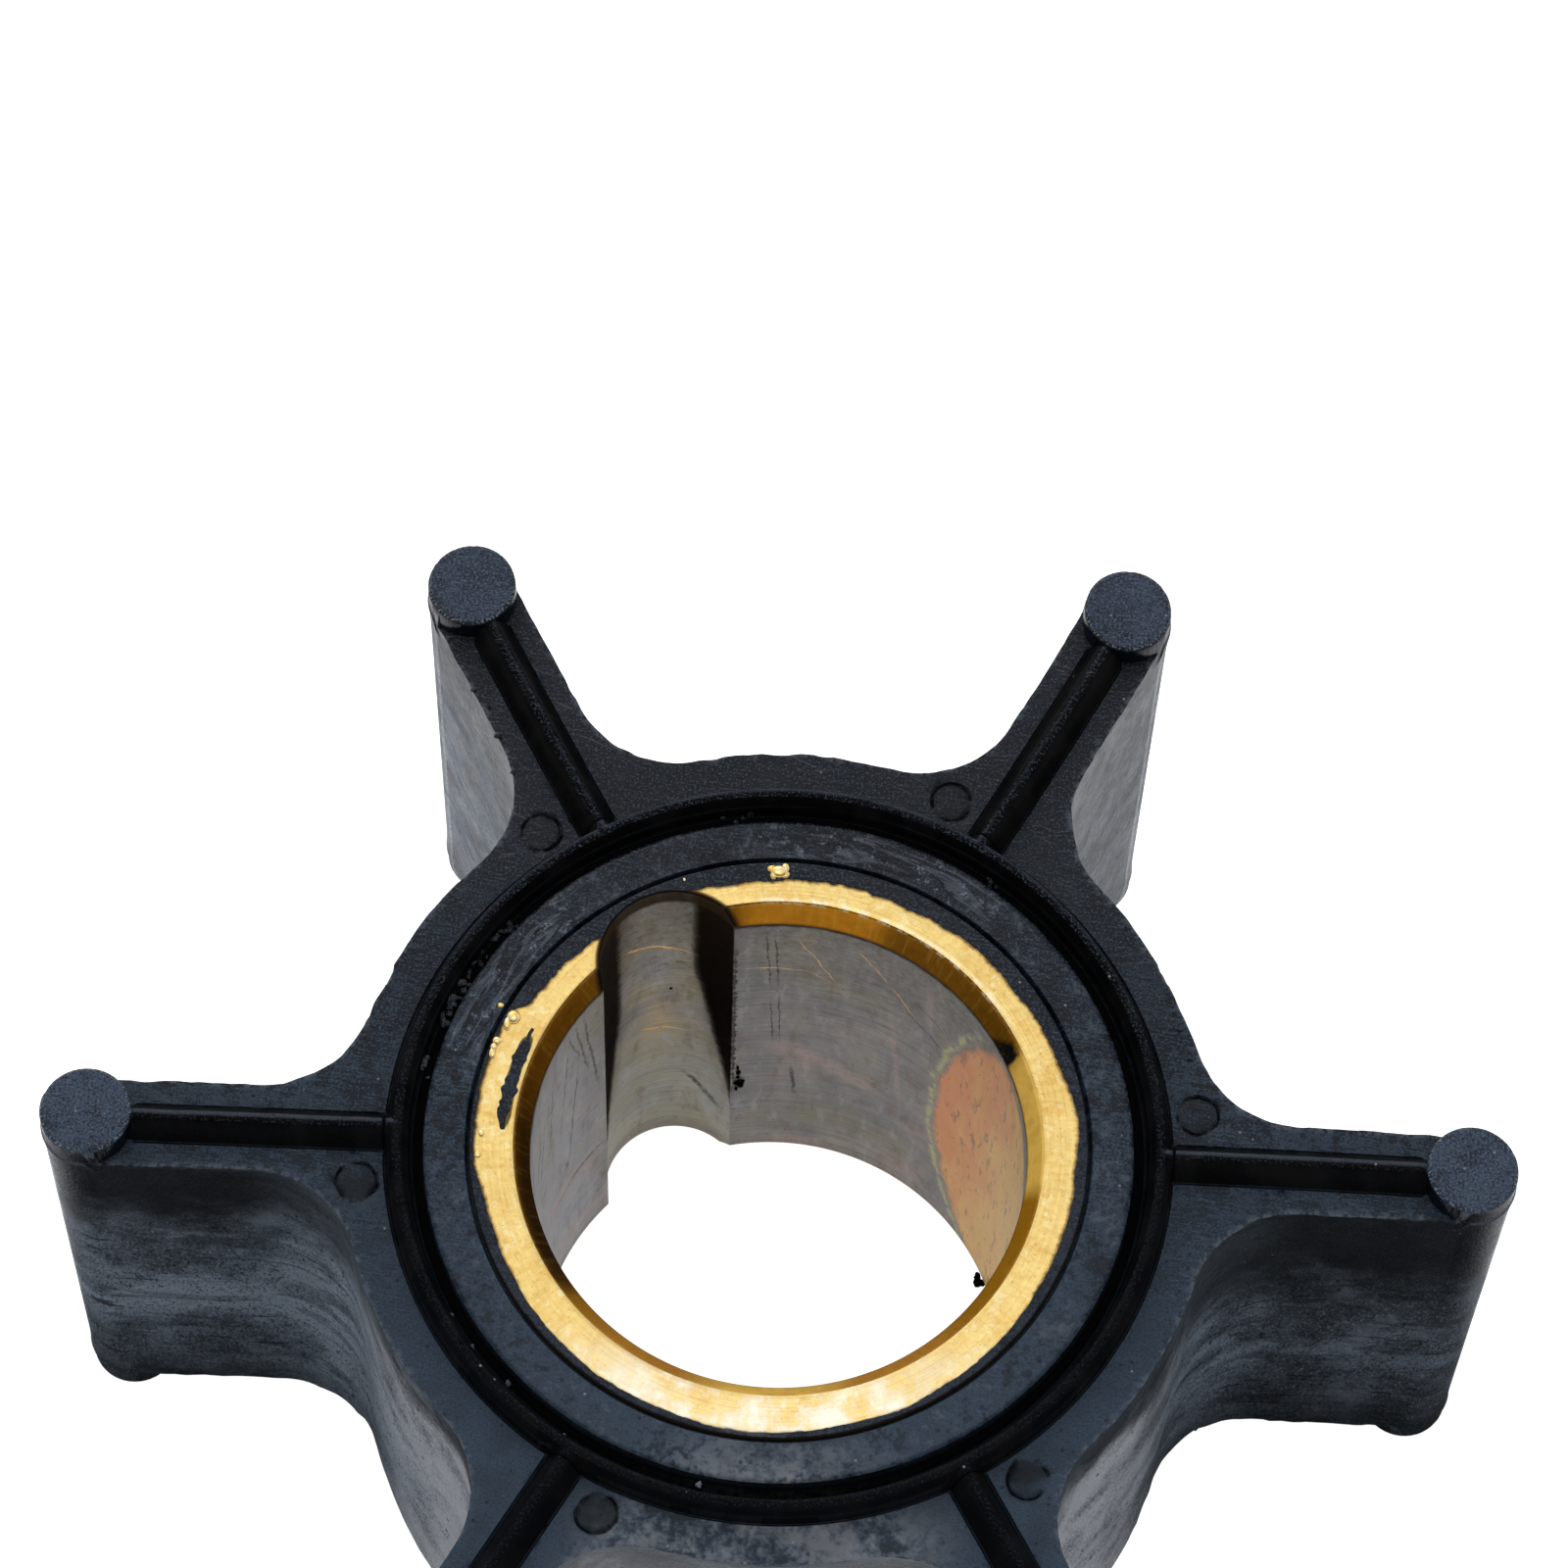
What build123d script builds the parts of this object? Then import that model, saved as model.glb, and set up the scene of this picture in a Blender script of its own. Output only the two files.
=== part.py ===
"""Flexible pump impeller: a moulded rubber hub with six bulb-tipped vanes, bonded to a keyed brass bush.

Millimetres. Z runs along the bore, Z = 0 is the plane of the lower bulb ends, and one vane points along +X.
Both ends of the rubber are alike: vane faces with sealing beads, a raised collar and standing bulb ends.
"""

import os

from build123d import *

# ---- driving dimensions -------------------------------------------------------------------------

# vanes
vane_count = 6
overall_diameter = 66.0        # over two opposite bulbs
vane_height = 27.6             # from one vane face to the other
vane_thickness = 4.1
root_radius = 5.0              # fillet between a vane and the hub
bulb_diameter = 4.1
bulb_stand = 1.4               # bulb end above the vane face
bulb_rim_radius = 0.2

# brass bush
bore_diameter = 22.3
bush_wall = 2.7
mouth_width = 0.7              # bore chamfer, measured along the radius
mouth_depth = 0.95             # bore chamfer, measured along the bore
keyway_radius = 3.4            # round-bottomed groove
keyway_wall = 0.35             # brass left behind the groove
keyway_vane = 2                # the vane that the keyway lines up with, counted from +X

# hub, each size measured out from the one before it
collar_width = 2.05            # raised ring around the bush
collar_stand = 0.5             # collar and bush ends above the vane face
ring_bead_offset = 1.15        # from the collar's side to the ring bead's centre line
hub_rim = 2.45                 # from the ring bead's centre line to the hub's side

# sealing beads on each vane face: a ring outside the collar and a straight rib along each vane
bead_height = 1.15
bead_crest_radius = 0.3
ring_bead_width = 1.1          # at the foot
ring_bead_slope = 75           # flank, degrees from the vane face
rib_width = 1.7                # at the foot
rib_slope = 63

# ejector pin marks on the upper face
pin_mark_diameter = 1.8
pin_mark_depth = 0.12
pin_mark_inset = 0.6           # their centres inside the hub's side
pin_mark_angle = 7.3           # degrees round from the vane's centre line

# ---- derived places -----------------------------------------------------------------------------

bush_diameter = bore_diameter + 2 * bush_wall
collar_diameter = bush_diameter + 2 * collar_width
ring_bead_diameter = collar_diameter + 2 * ring_bead_offset
hub_diameter = ring_bead_diameter + 2 * hub_rim
pin_mark_circle = hub_diameter - 2 * pin_mark_inset
keyway_centre = bush_diameter / 2 - keyway_wall - keyway_radius
bulb_circle = (overall_diameter - bulb_diameter) / 2
low_face = bulb_stand
high_face = low_face + vane_height
overall_height = high_face + bulb_stand

bush_low = low_face - collar_stand
bush_high = high_face + collar_stand
bush_length = bush_high - bush_low
keyway_angle = keyway_vane * 360 / vane_count

rib_start = ring_bead_diameter / 2
rib_length = bulb_circle - rib_start
on_face = (Align.CENTER, Align.MIN)      # a bead's section stands on its face

os.makedirs("parts", exist_ok=True)


# ---- rubber impeller ----------------------------------------------------------------------------

with BuildPart() as rubber_impeller:
    # hub and vanes, drawn in plan
    with BuildSketch(Plane.XY.offset(low_face)) as plan:
        Circle(hub_diameter / 2)
        with PolarLocations(0, vane_count):
            Rectangle(bulb_circle, vane_thickness, align=(Align.MIN, Align.CENTER))
        roots = plan.vertices().group_by(lambda corner: corner.center().length)[0]
        fillet(roots, root_radius)
    extrude(amount=vane_height)

    # bulbs at the vane tips, standing past both vane faces
    with BuildSketch(Plane.XY):
        with PolarLocations(bulb_circle, vane_count):
            Circle(bulb_diameter / 2)
    extrude(amount=overall_height)
    bulb_ends = rubber_impeller.edges().group_by(Axis.Z)
    fillet(bulb_ends[0] + bulb_ends[-1], bulb_rim_radius)

    # collar around the bush
    with BuildSketch(Plane.XY.offset(bush_low)):
        Circle(collar_diameter / 2)
    extrude(amount=bush_length)

    # ring bead outside the collar, standing on both faces
    with BuildSketch(Plane.XZ) as ring_section:
        with Locations((ring_bead_diameter / 2, high_face)):
            Trapezoid(ring_bead_width, bead_height, ring_bead_slope, align=on_face)
        with Locations((ring_bead_diameter / 2, low_face)):
            Trapezoid(ring_bead_width, bead_height, ring_bead_slope, rotation=180, align=on_face)
        ring_corners = ring_section.vertices().group_by(Axis.Z)
        fillet(ring_corners[0] + ring_corners[-1], bead_crest_radius)
    revolve(axis=Axis.Z)

    # ribs, from the ring bead along each vane to its bulb
    with BuildPart(mode=Mode.PRIVATE) as rib_pair:
        with BuildSketch(Plane.YZ.offset(rib_start)) as rib_section:
            with Locations((0, high_face)):
                Trapezoid(rib_width, bead_height, rib_slope, align=on_face)
            with Locations((0, low_face)):
                Trapezoid(rib_width, bead_height, rib_slope, rotation=180, align=on_face)
            rib_corners = rib_section.vertices().group_by(Axis.Z)
            fillet(rib_corners[0] + rib_corners[-1], bead_crest_radius)
        extrude(amount=rib_length)
    with PolarLocations(0, vane_count):
        add(rib_pair.part)

    # ejector pin marks
    with BuildSketch(Plane.XY.offset(high_face)):
        with PolarLocations(pin_mark_circle / 2, vane_count, start_angle=pin_mark_angle):
            Circle(pin_mark_diameter / 2)
    extrude(amount=-pin_mark_depth, mode=Mode.SUBTRACT)

    # seat of the bush
    with BuildSketch(Plane.XY.offset(bush_low)):
        Circle(bush_diameter / 2)
    extrude(amount=bush_length, mode=Mode.SUBTRACT)

rubber_impeller.part.label = "rubber_impeller"
export_step(rubber_impeller.part, "parts/rubber_impeller.step")


# ---- brass bush ---------------------------------------------------------------------------------

with BuildPart() as brass_bush:
    # section of the turned bush, with both mouths of the bore chamfered
    with BuildSketch(Plane.XZ):
        with BuildLine():
            Polyline(
                (bore_diameter / 2, bush_low + mouth_depth),
                (bore_diameter / 2 + mouth_width, bush_low),
                (bush_diameter / 2, bush_low),
                (bush_diameter / 2, bush_high),
                (bore_diameter / 2 + mouth_width, bush_high),
                (bore_diameter / 2, bush_high - mouth_depth),
                close=True,
            )
        make_face()
    revolve(axis=Axis.Z)

    # keyway along the whole bore
    with BuildSketch(Plane.XY.offset(bush_low)):
        with PolarLocations(keyway_centre, 1, start_angle=keyway_angle):
            Circle(keyway_radius)
    extrude(amount=bush_length, mode=Mode.SUBTRACT)

brass_bush.part.label = "brass_bush"
export_step(brass_bush.part, "parts/brass_bush.step")
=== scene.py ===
"""Rubber pump impeller: six bulb-tipped vanes moulded round a keyed brass bush, dressed over its CAD frame.

Sizes are in millimetres until a mesh is made, and every mesh is made in metres.
"""

import math

import bmesh
import bpy
import numpy as np
from mathutils import Matrix, Vector
from mathutils.geometry import delaunay_2d_cdt


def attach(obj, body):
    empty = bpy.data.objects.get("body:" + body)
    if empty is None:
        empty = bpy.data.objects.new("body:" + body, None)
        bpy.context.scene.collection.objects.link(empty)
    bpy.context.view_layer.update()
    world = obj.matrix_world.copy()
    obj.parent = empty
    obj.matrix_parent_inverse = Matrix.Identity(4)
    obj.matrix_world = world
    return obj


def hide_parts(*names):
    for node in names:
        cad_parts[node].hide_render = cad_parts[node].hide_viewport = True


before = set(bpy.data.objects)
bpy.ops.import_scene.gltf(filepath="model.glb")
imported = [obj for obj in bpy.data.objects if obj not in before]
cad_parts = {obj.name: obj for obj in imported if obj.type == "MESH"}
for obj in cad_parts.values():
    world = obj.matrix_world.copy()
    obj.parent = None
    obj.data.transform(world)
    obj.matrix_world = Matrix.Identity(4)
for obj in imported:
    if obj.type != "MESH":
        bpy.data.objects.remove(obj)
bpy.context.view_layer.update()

MM = 0.001

# ---- sizes of the moulding, mm ------------------------------------------------------------------

VANES = 6
VANE_STEP = math.tau / VANES
BULB_CIRCLE = 30.95
BULB_RADIUS = 2.05
BULB_STAND = 1.4
BULB_RIM = 0.2
VANE_HALF = 2.05
HUB_RADIUS = 19.5
ROOT_RADIUS = 5.0
LOW_FACE = 1.4
HIGH_FACE = 29.0
MIDDLE = (LOW_FACE + HIGH_FACE) / 2
COLLAR_RADIUS = 15.9
COLLAR_STAND = 0.5
RING_RADIUS = 17.05
RING_HALF = 0.55
RING_SLOPE = math.radians(75)
RIB_HALF = 0.85
RIB_SLOPE = math.radians(63)
BEAD_HEIGHT = 1.15
PIN_CIRCLE = 18.9
PIN_RADIUS = 0.9
PIN_TURN = math.radians(7.3)
PIN_ALONG = PIN_CIRCLE * math.cos(PIN_TURN)
PIN_ACROSS = PIN_CIRCLE * math.sin(PIN_TURN)

# ---- sizes of the bush, mm ----------------------------------------------------------------------

BUSH_RADIUS = 13.85
BORE_RADIUS = 11.15
MOUTH_WIDTH = 0.7
MOUTH_DEPTH = 0.95
BUSH_LOW = LOW_FACE - COLLAR_STAND
BUSH_HIGH = HIGH_FACE + COLLAR_STAND
KEYWAY_RADIUS = 3.4
KEYWAY_CENTRE = 10.1
KEYWAY_ANGLE = math.radians(120)
CRACK_RADIUS = 13.80


# ---- laying out nodes ---------------------------------------------------------------------------

def feed(tree, value, socket):
    """Joins a term to a socket, or writes a plain value into it."""
    if isinstance(value, Term):
        tree.links.new(value.socket, socket)
    else:
        socket.default_value = value


class Term:
    """A number or vector on its way through a node tree, so that a rule reads as a sum."""

    def __init__(self, tree, socket):
        self.tree = tree
        self.socket = socket

    def math(self, operation, *others, clamp=False):
        node = self.tree.nodes.new("ShaderNodeMath")
        node.operation = operation
        node.use_clamp = clamp
        for socket, value in zip(node.inputs, (self,) + others):
            feed(self.tree, value, socket)
        return Term(self.tree, node.outputs[0])

    def __add__(self, other):
        return self.math("ADD", other)

    __radd__ = __add__

    def __sub__(self, other):
        return self.math("SUBTRACT", other)

    def __rsub__(self, other):
        return (self * -1.0) + other

    def __mul__(self, other):
        return self.math("MULTIPLY", other)

    __rmul__ = __mul__

    def __truediv__(self, other):
        return self.math("DIVIDE", other)

    def __rtruediv__(self, other):
        return self.math("POWER", -1.0) * other

    def least(self, other):
        return self.math("MINIMUM", other)

    def most(self, other):
        return self.math("MAXIMUM", other)

    def size(self):
        return self.math("ABSOLUTE")

    def root(self):
        return self.math("SQRT")

    def kept(self):
        """The number held between 0 and 1."""
        return self.math("ADD", 0.0, clamp=True)

    def ramp(self, low, high, start=0.0, end=1.0):
        """A smooth climb from start to end while the number goes from low to high."""
        node = self.tree.nodes.new("ShaderNodeMapRange")
        node.interpolation_type = "SMOOTHSTEP"
        for socket, value in zip(node.inputs, (self, low, high, start, end)):
            feed(self.tree, value, socket)
        return Term(self.tree, node.outputs[0])

    def fall(self, low, high):
        """1 up to the low number, falling smoothly to 0 at the high one."""
        return self.ramp(low, high, 1.0, 0.0)

    def within(self, centre, inner, outer):
        """1 closer to the centre than the inner reach, falling smoothly to 0 at the outer one."""
        return (self - centre).size().fall(inner, outer)

    def near(self, centre, reach):
        """1 at the centre, falling smoothly to 0 at the reach on both sides."""
        return self.within(centre, 0.0, reach)

    def parts(self):
        node = self.tree.nodes.new("ShaderNodeSeparateXYZ")
        feed(self.tree, self, node.inputs[0])
        return [Term(self.tree, socket) for socket in node.outputs]

    def scaled(self, x, y, z):
        node = self.tree.nodes.new("ShaderNodeVectorMath")
        node.operation = "MULTIPLY"
        feed(self.tree, self, node.inputs[0])
        node.inputs[1].default_value = (x, y, z)
        return Term(self.tree, node.outputs[0])


def vector_of(tree, x, y, z):
    """Three numbers joined into one vector."""
    node = tree.nodes.new("ShaderNodeCombineXYZ")
    for socket, value in zip(node.inputs, (x, y, z)):
        feed(tree, value, socket)
    return Term(tree, node.outputs[0])


def hypotenuse(x, y):
    """How far away a place is, from two distances at right angles."""
    return (x * x + y * y).root()


def noise(tree, place, scale, detail=3.0, roughness=0.5, distortion=0.0):
    """Cloudy noise from 0 to 1, at so many features a millimetre."""
    node = tree.nodes.new("ShaderNodeTexNoise")
    feed(tree, place, node.inputs["Vector"])
    node.inputs["Scale"].default_value = scale
    node.inputs["Detail"].default_value = detail
    node.inputs["Roughness"].default_value = roughness
    node.inputs["Distortion"].default_value = distortion
    return Term(tree, node.outputs["Fac"])


def stored(tree, name, kind="FLOAT"):
    """Reads a value kept on the mesh, in a shape tree or in a finish tree."""
    if tree.type == "GEOMETRY":
        node = tree.nodes.new("GeometryNodeInputNamedAttribute")
        node.data_type = kind
        node.inputs["Name"].default_value = name
        return Term(tree, node.outputs["Attribute"])
    node = tree.nodes.new("ShaderNodeAttribute")
    node.attribute_name = name
    return Term(tree, node.outputs["Vector" if kind == "FLOAT_VECTOR" else "Fac"])


def round_the_vanes(place, step):
    """Distance from the bore's axis, and the place along and across the nearest vane."""
    x, y, _ = place.parts()
    radius = hypotenuse(x, y)
    angle = y.math("ARCTAN2", x)
    wrapped = angle.math("WRAP", step * 0.5, step * -0.5)
    return radius, angle, radius * wrapped.math("COSINE"), radius * wrapped.math("SINE")


# ---- plan of the moulding -----------------------------------------------------------------------

def turned(points, angle):
    """Points turned about the bore."""
    cos, sin = math.cos(angle), math.sin(angle)
    x, y = points[:, 0], points[:, 1]
    return np.column_stack((x * cos - y * sin, x * sin + y * cos))


def arc(centre, radius, start, end, spacing):
    """Points along an arc, without its last one."""
    count = max(2, round(abs(end - start) * radius / spacing))
    angles = np.linspace(start, end, count, endpoint=False)
    return np.column_stack((centre[0] + radius * np.cos(angles), centre[1] + radius * np.sin(angles)))


def run(start, end, spacing):
    """Points along a straight line, without its last one."""
    count = max(2, round(math.dist(start, end) / spacing))
    share = np.linspace(0, 1, count, endpoint=False)[:, None]
    return np.array(start) * (1 - share) + np.array(end) * share


def plan_outline(spacing):
    """The closed line round hub, vanes and bulbs, walked anticlockwise."""
    root_side = VANE_HALF + ROOT_RADIUS
    root_along = math.sqrt((HUB_RADIUS + ROOT_RADIUS) ** 2 - root_side ** 2)
    root_angle = math.asin(root_side / (HUB_RADIUS + ROOT_RADIUS))
    quarter = math.pi / 2
    sector = np.vstack((
        arc((0, 0), HUB_RADIUS, -VANE_STEP / 2, -root_angle, spacing),
        arc((root_along, -root_side), ROOT_RADIUS, math.pi - root_angle, quarter, spacing),
        run((root_along, -VANE_HALF), (BULB_CIRCLE, -VANE_HALF), spacing),
        arc((BULB_CIRCLE, 0), BULB_RADIUS, -quarter, quarter, spacing * 0.7),
        run((BULB_CIRCLE, VANE_HALF), (root_along, VANE_HALF), spacing),
        arc((root_along, root_side), ROOT_RADIUS, -quarter, root_angle - math.pi, spacing),
        arc((0, 0), HUB_RADIUS, root_angle, VANE_STEP / 2, spacing),
    ))
    return np.vstack([turned(sector, vane * VANE_STEP) for vane in range(VANES)])


POINTS_AT_ONCE = 4000


def inside(points, outline):
    """Which points lie inside a closed line."""
    start = outline
    end = np.roll(outline, -1, axis=0)
    found = np.zeros(len(points), bool)
    for first in range(0, len(points), POINTS_AT_ONCE):
        x = points[first:first + POINTS_AT_ONCE, 0][:, None]
        y = points[first:first + POINTS_AT_ONCE, 1][:, None]
        spans = (start[:, 1] > y) != (end[:, 1] > y)
        rise = end[:, 1] - start[:, 1]
        rise = np.where(rise == 0, 1e-12, rise)
        cross = start[:, 0] + (y - start[:, 1]) / rise * (end[:, 0] - start[:, 0])
        found[first:first + POINTS_AT_ONCE] = (spans & (x < cross)).sum(axis=1) % 2 == 1
    return found


# where an end face needs points, mm: out from the middle of the ring bead, out from the bush, from the axis
# at the collar's rim, from the middle of a bulb, to either side of a vane's bead, and from the middle of a
# pin mark
RING_OFFSETS = (
    -0.95, -0.66, -0.6, -0.55, -0.42, -0.3, -0.2, -0.1, 0.0, 0.1, 0.2, 0.3, 0.42, 0.55, 0.6, 0.66, 0.8,
)
CRACK_OFFSETS = (0.06, 0.12, 0.2, 0.32)
COLLAR_RADII = (15.3, 15.6, 15.74, 15.82, 15.87, 15.9, 15.93, 15.98)
BULB_RADII = (BULB_RADIUS + 0.1, BULB_RADIUS + 0.03, BULB_RADIUS, 2.03, 1.98, 1.91, 1.82, 1.5)
RIB_OFFSETS = (0.0, 0.1, 0.2, 0.3, 0.42, 0.6, 0.74, 0.85, 0.9, 0.97)
PIN_RADII = (PIN_RADIUS + 0.12, PIN_RADIUS + 0.05, PIN_RADIUS - 0.02, PIN_RADIUS - 0.09, 0.6, 0.3)
PIN_SPACING = 0.14
GRID_REACH = 34


def plan_chains(outline, seat, spacing, pins):
    """Lines of points along the foot and crest of what stands on one end face; each says if it closes."""
    loops = [outline, seat]
    radii = [RING_RADIUS + offset for offset in RING_OFFSETS]
    radii += [BUSH_RADIUS + offset for offset in CRACK_OFFSETS]
    for radius in radii + list(COLLAR_RADII):
        loops.append(arc((0, 0), radius, 0, math.tau, spacing))
    lines = []
    for vane in range(VANES):
        angle = vane * VANE_STEP
        for radius in BULB_RADII:
            circle = arc((BULB_CIRCLE, 0), radius, 0, math.tau, spacing * 0.7)
            side = np.abs(circle[:, 1]) < VANE_HALF - 0.05
            within = np.hypot(circle[:, 0] - BULB_CIRCLE, circle[:, 1]) < BULB_RADIUS - 0.01
            circle = circle[(side & (circle[:, 0] < BULB_CIRCLE)) | within]
            lines.append(turned(circle, angle))
        for offset in RIB_OFFSETS:
            for side in ((1, -1) if offset else (1,)):
                rib = run((RING_RADIUS, offset * side), (BULB_CIRCLE - 1.9, offset * side), spacing)
                lines.append(turned(rib, angle))
        if pins:
            for radius in PIN_RADII:
                pin = arc((PIN_CIRCLE, 0), radius, 0, math.tau, PIN_SPACING)
                loops.append(turned(pin, angle + PIN_TURN))
    return [(loop, True) for loop in loops] + [(line, False) for line in lines]


def fill_points(fixed, outline, spacing):
    """An even grid of points over the rest of the face, in the cells that hold no fixed point."""
    def cell(x, y):
        """The grid cell that holds a place."""
        return (math.floor(x / spacing), math.floor(y / spacing))

    taken = {cell(x, y) for x, y in fixed}
    columns = np.arange(-GRID_REACH, GRID_REACH, spacing)
    rows = np.arange(-GRID_REACH, GRID_REACH, spacing * 0.866)
    x, y = np.meshgrid(columns, rows)
    x = x + (np.arange(len(rows)) % 2)[:, None] * spacing / 2
    fill = np.column_stack((x.ravel(), y.ravel()))
    radius = np.hypot(fill[:, 0], fill[:, 1])
    fill = fill[(radius > BUSH_RADIUS + 0.1) & inside(fill, outline)]
    return np.array([(x, y) for x, y in fill if cell(x, y) not in taken])


def face_plan(outline, seat, spacing, pins):
    """Points and triangles of one end face, and which points lie on its outline and round its seat."""
    chains = plan_chains(outline, seat, spacing, pins)
    fixed = np.vstack([points for points, closed in chains])
    points = np.vstack((fixed, fill_points(fixed, outline, spacing)))
    edges = []
    first = 0
    for chain, closed in chains:
        count = len(chain)
        gaps = np.linalg.norm(np.diff(chain, axis=0), axis=1)
        edges += [(first + i, first + i + 1) for i in range(count - 1) if gaps[i] < spacing * 1.6]
        if closed:
            edges.append((first + count - 1, first))
        first += count
    laid = delaunay_2d_cdt([Vector(p) for p in points], edges, [], 0, 1e-5, True)
    places = np.array([tuple(v) for v in laid[0]])
    triangles = np.array([f for f in laid[2] if len(f) == 3])
    middles = places[triangles].mean(axis=1)
    keep = inside(middles, outline) & ~inside(middles, seat)
    triangles = triangles[keep]
    a, b, c = (places[triangles[:, i]] for i in range(3))
    area = (b[:, 0] - a[:, 0]) * (c[:, 1] - a[:, 1]) - (b[:, 1] - a[:, 1]) * (c[:, 0] - a[:, 0])
    triangles = triangles[np.abs(area) > 1e-9]
    area = area[np.abs(area) > 1e-9]
    triangles[area < 0] = triangles[area < 0][:, ::-1]
    rim = {}
    for index, sources in enumerate(laid[3]):
        for source in sources:
            if source < len(outline) + len(seat):
                rim[source] = index
    outline_rim = [rim[i] for i in range(len(outline))]
    seat_rim = [rim[len(outline) + i] for i in range(len(seat))]
    return places, triangles, outline_rim, seat_rim


# rows of points down a wall: mm from either end, those that move with the flash of the rim, and between them
RIM_STEPS = [0.05, 0.13, 0.25, 0.45, 0.75, 0.9, 1.0, 1.1, 1.25, 1.8]
RIM_DEPTHS = (0, 0.05, 0.13, 0.25, 0.45)
WALL_ROWS = 22
LIFT_REACH = 6
UPPER_SEED = 11
LOWER_SEED = 12
PARTING_ROWS = ((7, 0.02), (8, 0.075), (9, 0.055), (10, 0.02))        # rows down the wall, mm proud of it


def blank(spacing):
    """The moulding as a closed flat-ended prism.

    Gives its points and faces, how much each point takes of the relief and of the rim's wear, the outline,
    and the rows of points that lie along the rims and along the mould's parting.
    """
    height = HIGH_FACE - LOW_FACE
    outline = plan_outline(spacing * 1.1)
    seat = arc((0, 0), BUSH_RADIUS, 0, math.tau, spacing)
    top, top_faces, top_rim, top_seat = face_plan(outline, seat, spacing, True)
    low, low_faces, low_rim, low_seat = face_plan(outline, seat, spacing * 1.45, False)
    points = [
        np.column_stack((top, np.full(len(top), HIGH_FACE))),
        np.column_stack((low, np.full(len(low), LOW_FACE))),
    ]
    lifts = [np.full(len(top), 1.0), np.full(len(low), -1.0)]
    faces = [tuple(face) for face in top_faces]
    faces += [tuple(face[::-1] + len(top)) for face in low_faces]
    first = len(top) + len(low)

    middle_rows = np.linspace(2.5, height - 2.5, WALL_ROWS)
    depths = RIM_STEPS + list(middle_rows) + [height - step for step in reversed(RIM_STEPS)]
    for loop, upper, lower, inward in ((outline, top_rim, low_rim, False), (seat, top_seat, low_seat, True)):
        count = len(loop)
        rows = [list(upper)]
        for depth in (depths if not inward else depths[::7]):
            z = HIGH_FACE - depth
            points.append(np.column_stack((loop, np.full(count, z))))
            reach = 1 - min(depth, height - depth) / LIFT_REACH
            lifts.append(np.full(count, max(reach, 0) * (1 if z > MIDDLE else -1)))
            rows.append(list(range(first, first + count)))
            first += count
        rows.append([index + len(top) for index in lower])
        for row, below in zip(rows, rows[1:]):
            for i in range(count):
                j = (i + 1) % count
                quad = (row[i], below[i], below[j], row[j])
                faces.append(quad[::-1] if inward else quad)
        if not inward:
            wall_rows = rows
    points = np.vstack(points)
    rims = ((wall_rows[:5], UPPER_SEED), (wall_rows[:-6:-1], LOWER_SEED))
    edge = np.zeros(len(points))
    for rows, _ in rims:
        for row, depth in zip(rows, RIM_DEPTHS):
            edge[row] = math.exp(-depth / 0.08)
    partings = [(wall_rows[place], stand) for place, stand in PARTING_ROWS]
    partings += [(wall_rows[-1 - place], stand) for place, stand in PARTING_ROWS]
    return points, faces, np.concatenate(lifts), edge, outline, rims, partings


def mesh_object(name, points, faces, material=None):
    """A mesh object at the origin, from points in millimetres."""
    mesh = bpy.data.meshes.new(name)
    corners = [tuple(int(i) for i in face) for face in faces]
    mesh.from_pydata((np.asarray(points) * MM).tolist(), [], corners)
    mesh.update()
    piece = bpy.data.objects.new(name, mesh)
    bpy.context.scene.collection.objects.link(piece)
    if material:
        mesh.materials.append(material)
    return piece


# ---- what stands on the faces -------------------------------------------------------------------

def bead(distance, half, slope, height, crest):
    """Height of a bead with straight flanks and a rounded crest, by distance from its centre line."""
    flank = (half - distance) * math.tan(slope)
    return flank.math("SMOOTH_MIN", height, crest).most(0.0)


UNEVENNESS = 0.02


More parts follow.
